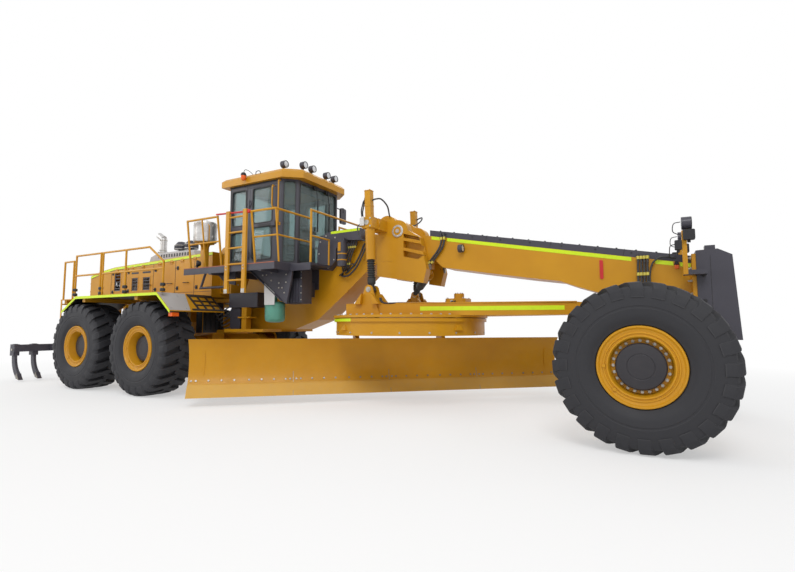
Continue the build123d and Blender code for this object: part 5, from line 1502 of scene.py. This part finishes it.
# ------------------------------------------------------------------ front axle
@detail("gold", 0.003, once=True)
def axle_pivot_caps(form):
    """Bolted caps on the two ends of the axle's pivot."""
    for x, way in ((6.52, -1), (7.02, 1)):
        form.cap(0.11, 0.105, 0.02, (x, 0, 0.94), (way, 0, 0), 40)
        form.bolt_circle((x + way * 0.018, 0, 0.94), (way, 0, 0), 0.085, 8, 0.026)


@detail("zinc", 0.002, "knuckle_{side}")
def kingpin_caps(form):
    """Cover on the top of each kingpin."""
    top = box_of("knuckle_right")[1].z
    form.cap(0.062, 0.058, 0.014, (6.77, -1.3, top), UP, 36)
    form.bolt_circle((6.77, -1.3, top + 0.013), UP, 0.045, 6, 0.02)


def front_machine():
    """Cylinder rods in their bellows, and the lines across the lift trunnions."""
    for side, form in zip(("right", "left"), (lift_rod_form(), lift_rod_form().moved(MIRROR))):
        made = piece(f"lift_bellows_{side}", form, f"lift_rod_{side}", "rubber", 0.0015)
        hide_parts(f"lift_rod_{side}")
    saddle_hoses()
    shift_rod()


# ------------------------------------------------------------------ cab
CAB_SIDE = -0.9
CAB_REAR, CAB_NOSE = -1.07, 0.63
DOOR_LIGHTS = ((-0.395, 0.14, 2.78, 3.45), (-0.395, 0.14, 3.55, 4.282))
QUARTER_LIGHTS = ((-1.0, -0.64, 2.765, 3.38), (-1.0, -0.6, 3.54, 4.29))
FLOOR = 2.6503
PLATFORM = 2.6
PLATFORM_STUD_PITCH = 0.11


def pane_bead(form, corner, across, up, size, lap=0.018, deep=0.01, radius=0.07):
    """Rubber bead round a pane, from its lower corner along two directions."""
    corner, across, up = Vector(corner), Vector(across).normalized(), Vector(up).normalized()
    out = across.cross(up)
    wide, tall = size

    def loop(grow, corners):
        return rounded([(-grow, -grow), (wide + grow, -grow), (wide + grow, tall + grow), (-grow, tall + grow)],
            corners)

    rings = []
    for (a, b), (c, d) in zip(loop(lap, radius), loop(-0.006, radius * 0.8)):
        edge, inner = corner + across * a + up * b, corner + across * c + up * d
        rings.append([edge, edge + out * deep * 0.6, edge * 0.7 + inner * 0.3 + out * deep,
            inner + out * deep * 0.7, inner - out * 0.012])
    form.skin(rings, loop=True)


def side_beads(form, lights):
    """Beads round upright panes in the cab's side."""
    for near, far, low, high in lights:
        pane_bead(form, (near, CAB_SIDE, low), AHEAD, UP, (far - near, high - low))


@detail("rubber")
def quarter_beads(form):
    """Beads of the rear side panes and of the corner pane beside the windscreen."""
    side_beads(form, QUARTER_LIGHTS)
    along = Vector((0.25, 0.23, 0))
    corner = Vector((0.38, CAB_SIDE, 2.71)) + along.normalized() * (along.length / 2 - 0.115)
    pane_bead(form, corner, along, UP, (0.23, 1.64), 0.012)


@detail("rubber", once=True)
def front_beads(form):
    """Beads of the windscreen and of the rear window."""
    pane_bead(form, (CAB_NOSE, -0.61, 2.71), ACROSS, UP, (1.22, 1.64), 0.012)
    pane_bead(form, (CAB_REAR, 0.78, 3.05), OUT, UP, (1.56, 1.3), 0.016)


@detail("rubber", body="door_{side}")
def door_beads(form):
    """Beads of the door's two panes."""
    side_beads(form, DOOR_LIGHTS)


@detail("gold", body="door_{side}")
def door_grab_bar(form):
    """Bowed bar on the door's front edge."""
    y = CAB_SIDE
    form.tube(eased([(0.19, y, 3.84), (0.19, y - 0.05, 3.85), (0.19, y - 0.055, 4.05), (0.19, y - 0.05, 4.26),
        (0.19, y, 4.27)], 4), 0.014, 12)


@detail("black", 0.002, "door_{side}")
def door_latch(form):
    """Latch bar and plate of the door, with its hinge screws."""
    y = CAB_SIDE
    form.prism(rounded([(-0.22, 3.46), (0.29, 3.452), (0.29, 3.5), (-0.22, 3.51)], 0.02), y - 0.022, y)
    form.slab((0.16, 3.42), (0.275, 3.555), 0.02, y - 0.012, y)
    form.bolts([(0.255, y - 0.012, 3.44), (0.255, y - 0.012, 3.535)], OUT, 0.016)
    for z in (2.87, 2.93, 3.97, 4.03):
        form.bolt((-0.452, y - 0.014, z), OUT, 0.012)


@detail("gold")
def pillar_rail(form):
    """Grab rail on the cab's front pillar."""
    y = CAB_SIDE
    form.tube([(0.354, y, 3.47), (0.354, y - 0.05, 3.49), (0.354, y - 0.05, 4.36), (0.354, y, 4.378)], 0.015, 12)
    for z in (3.47, 4.378):
        form.block((0.33, y - 0.006, z - 0.03), (0.374, y, z + 0.03))


@detail("black", 0.001)
def cab_seams(form):
    """Gutter under the roof, sill strip and corner seams of the cab."""
    y = CAB_SIDE
    form.block((CAB_REAR, y - 0.012, 4.372), (0.38, y, 4.399))
    form.block((CAB_REAR, y - 0.01, 2.64), (-0.5, y, 2.665))
    form.block((CAB_REAR + 0.02, y - 0.006, 2.7), (CAB_REAR + 0.03, y, 4.36))
    form.block((-0.565, y - 0.006, 2.7), (-0.555, y, 4.36))
    for z in (2.76, 3.05, 3.45, 3.9, 4.3):
        form.bolt((CAB_REAR + 0.045, y, z), OUT, 0.014)


@detail("black", 0.002, once=True)
def visor(form):
    """Blind and its rail behind the head of the windscreen, with the wiper motors."""
    form.block((0.545, -0.58, 4.2), (0.556, 0.58, 4.34))
    form.rod((0.55, -0.58, 4.2), (0.55, 0.58, 4.2), 0.012, 12)
    for y in (-0.15, 0.25):
        form.slab((y - 0.06, 4.31), (y + 0.06, 4.385), 0.02, CAB_NOSE, CAB_NOSE + 0.045, "x")


@detail("black", once=True)
def wipers(form):
    """Arms and blades on the windscreen."""
    x = CAB_NOSE
    for y, swing in ((-0.15, 0.1), (0.25, 0.1)):
        form.rod((x + 0.03, y, 4.345), (x + 0.06, y, 4.345), 0.016, 16)
        form.tube([(x + 0.052, y, 4.345), (x + 0.045, y + swing * 0.5, 4.1), (x + 0.036, y + swing, 3.78)],
            [0.01, 0.008, 0.006], 8)
        form.block((x + 0.006, y + swing - 0.01, 3.42), (x + 0.03, y + swing + 0.01, 4.12))
        form.block((x + 0.0005, y + swing - 0.003, 3.42), (x + 0.008, y + swing + 0.003, 4.12))


BEACON = Vector((-0.54, -1.045, 4.56))


@detail("beacon", 0.002, once=True)
def roof_beacon(form):
    """Amber glass of the lamp hung from the roof's edge."""
    form.turned([(0.001, -0.1), (0.03, -0.1), (0.05, -0.07), (0.052, -0.02), (0.05, 0.0), (0.001, 0.0)], BEACON,
        UP, 28)


@detail("black", 0.001, once=True)
def beacon_base(form):
    """Base, bracket and lead of the beacon, and the aerial lead behind it."""
    form.turned([(0.001, 0.0), (0.056, 0.0), (0.058, 0.03), (0.04, 0.06), (0.001, 0.062)], BEACON, UP, 28)
    form.block((-0.57, -1.05, 4.565), (-0.51, -0.985, 4.58))
    form.hose([(-0.54, -1.045, 4.61), (-0.5, -1.04, 4.68), (-0.45, -0.97, 4.66), (-0.4, -0.89, 4.585)], 0.006, 8)
    form.hose([(-0.3, -0.94, 4.56), (-0.27, -0.95, 4.63), (-0.18, -0.95, 4.63), (-0.15, -0.94, 4.555)], 0.008, 8)


@detail("gold", 0.002, once=True)
def roof_seams(form):
    """Pressed ribs and bolted hatch on the roof."""
    z = 4.59
    form.slab((-0.75, -0.35), (-0.05, 0.35), 0.08, z, z + 0.018, "z")
    for y in (-0.62, -0.5, 0.5, 0.62):
        form.slab((-1.0, y - 0.03), (0.25, y + 0.03), 0.03, z, z + 0.008, "z")
    form.bolts([(x, y, z + 0.018) for x in (-0.7, -0.1) for y in (-0.3, 0.3)], UP, 0.022)


LAMPS_FORWARD = ((0.69, -0.25, 4.74, 0.075), (0.69, -0.53, 4.74, 0.075), (0.38, -0.77, 4.74, 0.075),
    (4.06, -0.38, 2.748, 0.07), (7.4, -0.59, 2.8, 0.085))


@detail("black")
def lamp_rims(form):
    """Rims of the forward lamps."""
    for x, y, z, radius in LAMPS_FORWARD:
        form.turned([(radius * 0.84, -0.004), (radius, 0.0), (radius, 0.006), (radius * 0.95, 0.012),
            (radius * 0.84, 0.008)], (x, y, z), AHEAD, 40)


@detail("lens")
def lamp_lenses(form):
    """Lenses of the forward lamps."""
    for x, y, z, radius in LAMPS_FORWARD:
        form.turned([(0.001, 0.0), (radius * 0.85, 0.0), (radius * 0.8, 0.004), (radius * 0.5, 0.008),
            (0.001, 0.01)], (x, y, z), AHEAD, 40)


@detail("bright", once=True)
def mirror_glass(form):
    """Glass of the left mirror."""
    form.slab((1.208, 3.9), (1.392, 4.24), 0.03, 0.316, 0.3205, "x")


@detail("black", 0.002, once=True)
def mirror_clamp(form):
    """Clamp on the mirror's arm and its plate on the cab."""
    form.rod((0.35, 1.29, 4.15), (0.35, 1.29, 4.27), 0.024)
    form.block((0.325, 0.9, 4.17), (0.365, 0.915, 4.27))


# ------------------------------------------------------------------ seat and controls
def pillow(centre, along, up, sizes, crown=0.25, square=0.32):
    """Stuffed cushion: a crowned closed form with sewn channels along its face."""
    centre, along, up = Vector(centre), Vector(along).normalized(), Vector(up).normalized()
    across = Vector(ACROSS)
    turns, rises = 56, 26

    def bent(value, power):
        return math.copysign(abs(value) ** power, value)

    rings = []
    for rise in range(1, rises):
        tall = math.pi * (rise / rises - 0.5)
        c = bent(math.sin(tall), 0.8)
        ring = []
        for turn in range(turns):
            angle = math.tau * turn / turns
            a, b = (bent(wave(angle), square) * bent(math.cos(tall), square) for wave in (math.cos, math.sin))
            puff = 1.0
            if c > 0:
                puff += crown * (1 - a * a) * (1 - b * b) - 0.2 * math.exp(-((abs(b) - 0.62) / 0.035) ** 2)
            ring.append(centre + along * a * sizes[0] + across * b * sizes[1] + up * c * sizes[2] * puff)
        rings.append(ring)
    return Form().skin(rings)


ARMREST = 0.315


def seat():
    """Sprung seat with padded cushion, backrest, headrest and armrests."""
    lean, front = Vector((-0.1, 0, 0.78)), Vector((0.78, 0, 0.1))
    arms = Form()
    for y in (-ARMREST, ARMREST):
        arms.slab((-0.42, y - 0.045), (0.0, y + 0.045), 0.04, FLOOR + 0.575, FLOOR + 0.635, "z")
    pads = (
        ("seat_cushion", pillow((-0.245, 0, FLOOR + 0.445), AHEAD, UP, (0.245, 0.25, 0.062)), 0.0, 60, 0.8),
        ("seat_back", pillow((-0.485, 0, FLOOR + 0.8), lean, front, (0.33, 0.235, 0.052)), 0.0, 60, 0.8),
        ("seat_headrest", pillow((-0.525, 0, FLOOR + 1.135), lean, front, (0.05, 0.13, 0.035), 0.1), 0.0, 60, 0.9),
        ("seat_armrests", arms, 0.012, 32, 1.0))
    for name, form, bevel, sharp, fill in pads:
        pad = piece(name, form, "front_frame", "cloth", bevel, sharp)
    pan = Form()
    pan.slab((-0.48, -0.24), (-0.01, 0.24), 0.04, FLOOR + 0.385, FLOOR + 0.4, "z")
    pan.skin([[(x - 0.1 * t, side * y, FLOOR + 0.42 + 0.72 * t)
        for x, side in ((-0.505, 1), (-0.525, 1), (-0.525, -1), (-0.505, -1))]
        for t, y in ((0.0, 0.2), (0.5, 0.22), (0.95, 0.18))])
    for fold in range(5):
        low = FLOOR + 0.03 + fold * 0.07
        pan.skin([[(-0.26 + end * (0.14 - pull), side * (0.17 - pull), low + lift)
            for end, side in ((-1, -1), (1, -1), (1, 1), (-1, 1))]
            for lift, pull in ((0.0, 0.02), (0.035, 0.0), (0.07, 0.02))])
    pan.block((-0.42, -0.18, FLOOR), (-0.1, 0.18, FLOOR + 0.03))
    for y in (-ARMREST, ARMREST):
        pan.block((-0.4, y - 0.02, FLOOR + 0.4), (-0.36, y + 0.02, FLOOR + 0.575))
        pan.prism([(-0.44, FLOOR + 0.575), (0.0, FLOOR + 0.575), (0.0, FLOOR + 0.545), (-0.4, FLOOR + 0.52)],
            y - 0.025, y + 0.025)
        pan.rod((-0.06, y, FLOOR + 0.635), (-0.05, y, FLOOR + 0.68), 0.012, 12)
        pan.turned([(0.001, 0), (0.022, 0.005), (0.026, 0.03), (0.018, 0.05), (0.001, 0.054)],
            (-0.05, y, FLOOR + 0.68), UP, 20)
    shell = piece("seat_frame", pan, "front_frame", "trim", 0.003)
    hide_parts("cab_interior")


@detail("trim", 0.004, once=True)
def cab_console(form):
    """Steering column, instrument pod, pedals, front rail, side screen and the side consoles."""
    form.prism(rounded([(0.3, FLOOR), (0.44, FLOOR), (0.42, FLOOR + 0.62), (0.36, FLOOR + 0.72),
        (0.27, FLOOR + 0.7)], 0.03), -0.15, 0.15)
    form.prism(rounded([(0.24, FLOOR + 0.7), (0.4, FLOOR + 0.66), (0.42, FLOOR + 0.84), (0.37, FLOOR + 0.86)],
        0.03), -0.18, 0.18)
    for y in (-0.11, 0.0, 0.11):
        form.slab((y - 0.035, FLOOR + 0.02), (y + 0.035, FLOOR + 0.14), 0.01, 0.262, 0.302, "x")
    form.block((0.5, -0.6, FLOOR + 0.42), (0.54, 0.6, FLOOR + 0.46))
    form.slab((-0.22, FLOOR + 0.9), (0.02, FLOOR + 1.08), 0.02, 0.66, 0.7)
    form.tube([(-0.1, 0.68, FLOOR + 0.9), (-0.1, 0.7, FLOOR + 0.6), (-0.1, 0.78, FLOOR + 0.4)], 0.014, 10)
    form.rod((-0.1, 0.78, FLOOR + 0.4), (-0.1, 0.8, FLOOR), 0.014, 10)
    for y in (-0.42, 0.42):
        form.prism(rounded([(-0.3, FLOOR), (0.1, FLOOR), (0.1, FLOOR + 0.5), (-0.3, FLOOR + 0.55)], 0.05),
            y - 0.03, y + 0.03)


@detail("trim", once=True)
def steering_wheel(form):
    """Rim, three spokes and column of the steering wheel."""
    hub, way = Vector((0.2, 0, FLOOR + 0.86)), Vector((-0.5, 0, 0.86)).normalized()
    spin = way.to_track_quat("Z", "X").to_matrix()
    form.tube([hub + spin @ spoke(math.tau * step / 40) * 0.19 for step in range(40)], 0.015, 10, closed=True)
    for turn in range(3):
        form.rod(hub - way * 0.02, hub + spin @ spoke(math.tau * turn / 3 + 0.5) * 0.185, 0.01, 8)
    form.rod(hub - way * 0.16, hub + way * 0.01, 0.028, 20)


# ------------------------------------------------------------------ platforms
@detail("charcoal")
def platform_studs(form):
    """Non-slip bars of the side platforms."""
    stud_rows(form, (-1.6, 0.84), (-1.54, -0.93), PLATFORM, PLATFORM_STUD_PITCH)


@detail("charcoal")
def nose_platform_studs(form):
    """Non-slip bars of the small steps ahead of the cab."""
    stud_rows(form, (0.88, 1.28), (-1.08, -0.52), PLATFORM, PLATFORM_STUD_PITCH)


@detail("rust")
def edge_line(form):
    """Painted strip along the top of the platform's edge channel."""
    for start, end in ((-1.64, -0.39), (-0.29, 0.07), (0.17, 0.86)):
        form.block((start, -1.563, 2.582), (end, -1.56, 2.598))


@detail("zinc", 0.001)
def gusset_bolts(form):
    """Bolts of the platform's gusset."""
    for x, z in ((0.133, 2.415), (0.232, 2.415), (0.14, 2.532), (0.232, 2.532), (0.357, 2.456), (0.361, 2.299),
            (0.56, 2.243), (0.56, 2.15), (0.643, 2.147), (0.7, 2.05), (0.74, 2.4), (0.74, 2.25)):
        form.bolt((x, -1.1, z), OUT, 0.022)


@detail("charcoal", 0.001)
def gusset_flange(form):
    """Folded flange down the gusset's rear edge and across its foot."""
    form.prism([(-0.235, 2.56), (-0.255, 2.56), (0.645, 1.885), (0.655, 1.9)], -1.135, -1.1)


@detail("zinc", 0.001)
def cabinet_bolts_side(form):
    """Bolts on the ribbed cabinet's outer edges."""
    form.bolts([(0.945, CAB_SIDE, z) for z in (1.92, 2.05, 2.18, 2.34, 2.46)], OUT, 0.02)
    form.bolts([(0.575, CAB_SIDE, z) for z in (2.38, 2.5)], OUT, 0.024)


@detail("black", 0.002)
def cabinet_lids(form):
    """Lid and foot strip of the ribbed cabinet."""
    form.slab((0.56, 2.33), (0.92, 2.53), 0.02, -0.908, -0.9)
    form.slab((0.545, 1.86), (0.955, 1.845), 0.004, -0.93, -0.9)


@detail("white", 0.001, once=True)
def white_plate(form):
    """Pale plate bolted to the foot of the platform's gusset."""
    form.prism([(0.188, 2.262), (0.467, 2.054), (0.467, 1.824), (0.208, 1.824)], -1.118, -1.112)
    form.bolts([(0.25, -1.118, 2.175), (0.42, -1.118, 2.05), (0.33, -1.118, 1.86)], OUT, 0.02)


@detail("charcoal", 0.001, once=True)
def plate_spacers(form):
    """Spacers behind the pale plate."""
    for x, z in ((0.26, 2.2), (0.42, 2.08)):
        form.rod((x, -1.1, z), (x, -1.113, z), 0.02, 16)


@detail("red", 0.001)
def gate_bar(form):
    """Red self-closing bar across the head of the ladder."""
    form.rod((-0.7, -1.566, 3.635), (0.215, -1.566, 3.6), 0.017, 16)
    form.slab((0.12, 3.57), (0.22, 3.64), 0.02, -1.585, -1.549)


@detail("zinc", 0.001)
def ladder_feet(form):
    """Brackets and bolts that hold the ladder's strings to the platform."""
    for x in (-0.34, 0.12):
        for z in (2.5, 2.56):
            form.bolt((x, -1.605, z), OUT, 0.022)
        form.block((x - 0.045, -1.609, 2.04), (x + 0.045, -1.605, 2.12))


@detail("gold", 0.001)
def filter_bands(form):
    """Bands and label plate of the filter ahead of the cab."""
    for z in (2.8, 2.68):
        form.hoop(0.094, 0.099, 0, 0.022, (1.617, -0.5, z), UP, 40)
    form.slab((1.585, 2.86), (1.645, 3.03), 0.008, -0.602, -0.588)


@detail("lime")
def fairing_tape(form):
    """Tape along the top of the side fairing."""
    form.prism([(1.318, 3.238), (1.995, 3.248), (1.997, 3.296), (1.318, 3.286)], -0.474, -0.47)


@detail("zinc", 0.001)
def fairing_bolts(form):
    """Bolts round the dark cover."""
    for x, z in ((1.03, 2.62), (1.03, 2.86), (1.06, 3.1), (1.2, 3.21), (1.42, 3.16), (1.4, 2.72), (1.26, 2.56)):
        form.bolt((x, -0.47, z), OUT, 0.022)


@detail("hose")
def hose_bundle(form):
    """Bundle of lines that drops from the cover to the frame."""
    for step in range(4):
        x = 1.74 + step * 0.05
        form.hose([(x, -0.38, 3.08), (x - 0.02, -0.4, 2.98), (x - 0.08, -0.42, 2.85), (x - 0.14, -0.41, 2.7),
            (x - 0.2, -0.37, 2.56), (x - 0.24, -0.29, 2.5)], 0.015)


@detail("brass", 0.001)
def bundle_clamps(form):
    """Clamps of the hose bundle."""
    for step in range(4):
        x = 1.74 + step * 0.05
        hose_clamps(form, [(x - 0.03, -0.405, 2.95), (x - 0.17, -0.395, 2.63)], (0.4, 0, 0.9), 0.04)


@detail("charcoal", 0.001)
def wiring_strip(form):
    """Dark cover strip down the frame's side below the cab's front."""
    form.block((0.66, -0.306, 2.15), (0.905, -0.3, 2.6))
    form.bolts([(x, -0.306, z) for x in (0.69, 0.875) for z in (2.18, 2.27)], OUT, 0.022)


@detail("black", 0.002, once=True)
def platform_lamp(form):
    """Lamp on the rear corner of the right-hand platform."""
    centre, way = Vector((-1.33, -1.48, 2.7)), Vector((-0.75, -0.66, 0.0))
    form.turned([(0.001, -0.075), (0.04, -0.07), (0.062, -0.03), (0.066, 0.0), (0.066, 0.012), (0.054, 0.012),
        (0.05, 0.002), (0.001, 0.006)], centre, way, 32)
    form.block((-1.36, -1.51, 2.6005), (-1.3, -1.45, 2.612))
    form.rod((-1.33, -1.48, 2.61), (-1.33, -1.48, 2.645), 0.012, 12)


@detail("black", 0.001, "rear_frame")
def slope_steps(form):
    """Bolted step frame of bars on the inner part of the fender's front slope."""
    x, z, far_x, far_z = SLOPE

    def bar(start, end, near, far, proud=0.014):
        a, b = x + (far_x - x) * start, z + (far_z - z) * start
        c, e = x + (far_x - x) * end, z + (far_z - z) * end
        form.prism([(a, b), (c, e), (c + proud * 0.6, e + proud * 0.8), (a + proud * 0.6, b + proud * 0.8)], near,
            far)

    bar(0.03, 0.16, -1.45, -0.82)
    bar(0.9, 0.985, -1.58, -0.82)
    for y in (-1.44, -1.24, -1.04, -0.86):
        bar(0.15, 0.92, y, y + 0.045)
    for share in (0.4, 0.65):
        bar(share, share + 0.05, -1.44, -0.82, 0.02)


@detail("black", 0.002, "rear_frame")
def hitch_guard_painted_shade(form):
    """Ribbed guard over the lines on the side of the rear chassis block, in black: painted shade for the shadowed
    hitch area.
    """
    front = -1.95
    form.block((front - 0.195, -0.812, 1.26), (front - 0.005, -0.8, 2.02))
    form.block((front, -0.79, 1.26), (front + 0.012, -0.24, 1.95))
    for y in (-0.7, -0.56, -0.42, -0.3):
        form.slab((y - 0.03, 1.32), (y + 0.03, 1.88), 0.02, front + 0.012, front + 0.03, "x")
    form.bolts([(front - x, -0.812, z) for x in (0.03, 0.17) for z in (1.32, 1.64, 1.96)], OUT, 0.028)


def hitch_hoses():
    """Bundle of lines that bends across the articulation joint."""
    for side, sign in SIDES:
        form = Form()
        for step in range(5):
            y, z = 0.42 + 0.045 * step, 1.52 + 0.09 * step
            form.tube(eased([(-1.95, -y, z), (-1.8, -y - 0.02, z - 0.03), (-1.6, -y - 0.1, z - 0.16 - 0.02 * step),
                (-1.38, -y - 0.06, z - 0.1), (-1.22, -y * 0.9, z + 0.02), (-1.1, -0.33, z + 0.03)], 5),
                0.016 if step % 2 else 0.013, 10)
        if sign > 0:
            form.moved(MIRROR)
        made = piece(f"hitch_hoses_{side}", form, "front_frame", "hose", 0.0)
        made.parent = None
        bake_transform(made)


TANK_X, TANK_Y = -1.464, -1.2
RECEIVER = (0.295, -0.91)


def tank():
    """Bare tank on the rear platform."""
    form = Form().turned([(0.001, 3.182), (0.2, 3.182), (0.228, 3.192), (0.235, 3.21), (0.235, 3.225),
        (0.231, 3.228), (0.231, 3.232), (0.235, 3.235), (0.235, 3.565), (0.231, 3.568), (0.231, 3.572),
        (0.235, 3.575), (0.235, 3.59), (0.226, 3.612), (0.19, 3.622), (0.062, 3.626), (0.062, 3.65),
        (0.055, 3.662), (0.001, 3.664)], (TANK_X, TANK_Y, 0), UP, 72)
    form.block((TANK_X - 0.232, TANK_Y - 0.02, 3.235), (TANK_X - 0.2295, TANK_Y + 0.02, 3.565))
    made = piece("tank_shell", form, "front_frame", "bright", 0.002)
    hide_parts("canisters")


@detail("gold", 0.003, once=True)
def tank_stand(form):
    """Painted stand of the tank: top plate, post with four gussets, bolted foot and sight pipe."""
    x, y = TANK_X, TANK_Y
    form.slab((x - 0.14, y - 0.14), (x + 0.14, y + 0.14), 0.03, 3.15, 3.182, "z")
    form.block((x - 0.06, y - 0.06, 2.62), (x + 0.06, y + 0.06, 3.152))
    form.block((x - 0.11, y - 0.11, 2.6005), (x + 0.11, y + 0.11, 2.62))
    for dx, dy in ((1, 0), (-1, 0), (0, 1), (0, -1)):
        form.skin([[(x + dx * a + dy * side, y + dy * a + dx * side, z)
            for a, z in ((0.055, 3.0), (0.13, 3.15), (0.055, 3.15))] for side in (-0.006, 0.006)])
    form.bolts([(x + end * 0.085, y + side * 0.085, 2.62) for end, side in CORNERS], UP, 0.026)
    form.tube([(x + 0.14, y - 0.1, 3.165), (x + 0.245, y - 0.1, 3.175), (x + 0.248, y - 0.1, 3.5),
        (x + 0.15, y - 0.1, 3.615)], 0.01, 10)


@detail("bright", 0.001, once=True)
def tank_straps(form):
    """Straps of the tank and their buckles."""
    for z in (3.28, 3.52):
        form.hoop(0.233, 0.238, 0, 0.03, (TANK_X, TANK_Y, z), UP, 72)
        form.block((TANK_X + 0.232, TANK_Y - 0.015, z - 0.008), (TANK_X + 0.256, TANK_Y + 0.015, z + 0.038))


@detail("teal", 0.002, once=True)
def receiver(form):
    """Receiver hung under the cab."""
    form.turned([(0.001, 1.48), (0.09, 1.482), (0.165, 1.5), (0.19, 1.535), (0.195, 1.56), (0.195, 1.83),
        (0.19, 1.855), (0.165, 1.885), (0.09, 1.902), (0.001, 1.904)], (*RECEIVER, 0), UP)
    form.block((0.265, -0.94, 1.89), (0.325, -0.88, 2.5597))


@detail("teal", 0.001, once=True)
def receiver_bands(form):
    """Bolted straps round the receiver."""
    for z in (1.6, 1.78):
        form.hoop(0.193, 0.199, 0, 0.03, (*RECEIVER, z), UP, 64)
        form.bolt((RECEIVER[0], -1.108, z + 0.015), OUT, 0.02)


# ------------------------------------------------------------------ stage
def studio_floor():
    """Pale floor that keeps the shadow near the machine and runs out into plain white."""
    finish = Finish("studio_floor", Base_Color=rgb(0.9, 0.9, 0.9))
    rays = finish.node("LightPath").socket.node.outputs
    seen = finish.clamp(Signal(finish, rays["Is Camera Ray"]) + Signal(finish,
        rays["Is Glossy Ray"]) + Signal(finish, rays["Is Transmission Ray"]))
    reach = finish.node("VectorMath", {"operation": "LENGTH"}, out=1, in0=finish.place())
    fade = finish.ramp(finish.clamp(reach / 20), (0.4, 0.45), (0.8, 1.0))
    grit = finish.noise(3.0)
    finish.set(Roughness=0.85 + grit * 0.1)
    white = finish.node("Emission", Color=rgb(1.0, 1.0, 1.0), Strength=1.0)
    shown = finish.node("MixShader", in0=seen * fade, in1=Signal(finish, finish.shader.outputs[0]), in2=white)
    finish.tree.links.new(shown.socket, finish.tree.nodes["Material Output"].inputs["Surface"])
    return finish.material


def studio_world():
    """Even pale light, seen as white by the eye and by mirrors."""
    world = bpy.data.worlds.new("studio")
    bpy.context.scene.world = world
    world.use_nodes = True
    nodes, links = world.node_tree.nodes, world.node_tree.links
    rays = nodes.new("ShaderNodeLightPath")
    background = nodes["Background"]
    background.inputs["Color"].default_value = rgb(1.0, 1.0, 1.0)
    level = None
    for ray in ("Is Camera Ray", "Is Glossy Ray", "Is Transmission Ray"):
        most = nodes.new("ShaderNodeMath")
        most.operation = "MAXIMUM"
        most.inputs[0].default_value = WORLD_LEVEL
        if level:
            links.new(level, most.inputs[0])
        links.new(rays.outputs[ray], most.inputs[1])
        level = most.outputs[0]
    links.new(level, background.inputs["Strength"])


WORLD_LEVEL = 0.62
LAMPS = (("key_light", (9, -16, 17), 9.0, 2000.0), ("fill_light", (-15, -10, 9), 9.0, 650.0),
    ("back_light", (-4, 15, 12), 9.0, 500.0))


def stage():
    """Floor, world and soft lamps."""
    bpy.ops.mesh.primitive_plane_add(size=160)
    floor = bpy.context.object
    floor.name = "floor"
    floor.data.materials.append(studio_floor())
    studio_world()
    for name, place, size, power in LAMPS:
        data = bpy.data.lights.new(name, "AREA")
        data.size = size
        data.energy = power
        lamp = bpy.data.objects.new(name, data)
        lamp.location = place
        lamp.rotation_euler = (Vector(UP) - Vector(place)).to_track_quat("-Z", "Y").to_euler()
        bpy.context.scene.collection.objects.link(lamp)


CAMERA_PLACE = Vector((6.942, -7.983, 1.41))
CAMERA_AIM = Vector((-0.47826, 0.87412, 0.08478))


def camera():
    """Camera at the standard view."""
    data = bpy.data.cameras.new("camera")
    data.lens = 21.37
    data.sensor_width = 36.0
    eye = bpy.data.objects.new("camera", data)
    eye.location = CAMERA_PLACE
    eye.rotation_euler = CAMERA_AIM.to_track_quat("-Z", "Y").to_euler()
    bpy.context.scene.collection.objects.link(eye)
    bpy.context.scene.camera = eye


dress_all()
wheels()
tyres()
make_details()
front_machine()
hitch_hoses()
seat()
tank()
stage()
camera()
bpy.context.scene.view_settings.view_transform = "Standard"
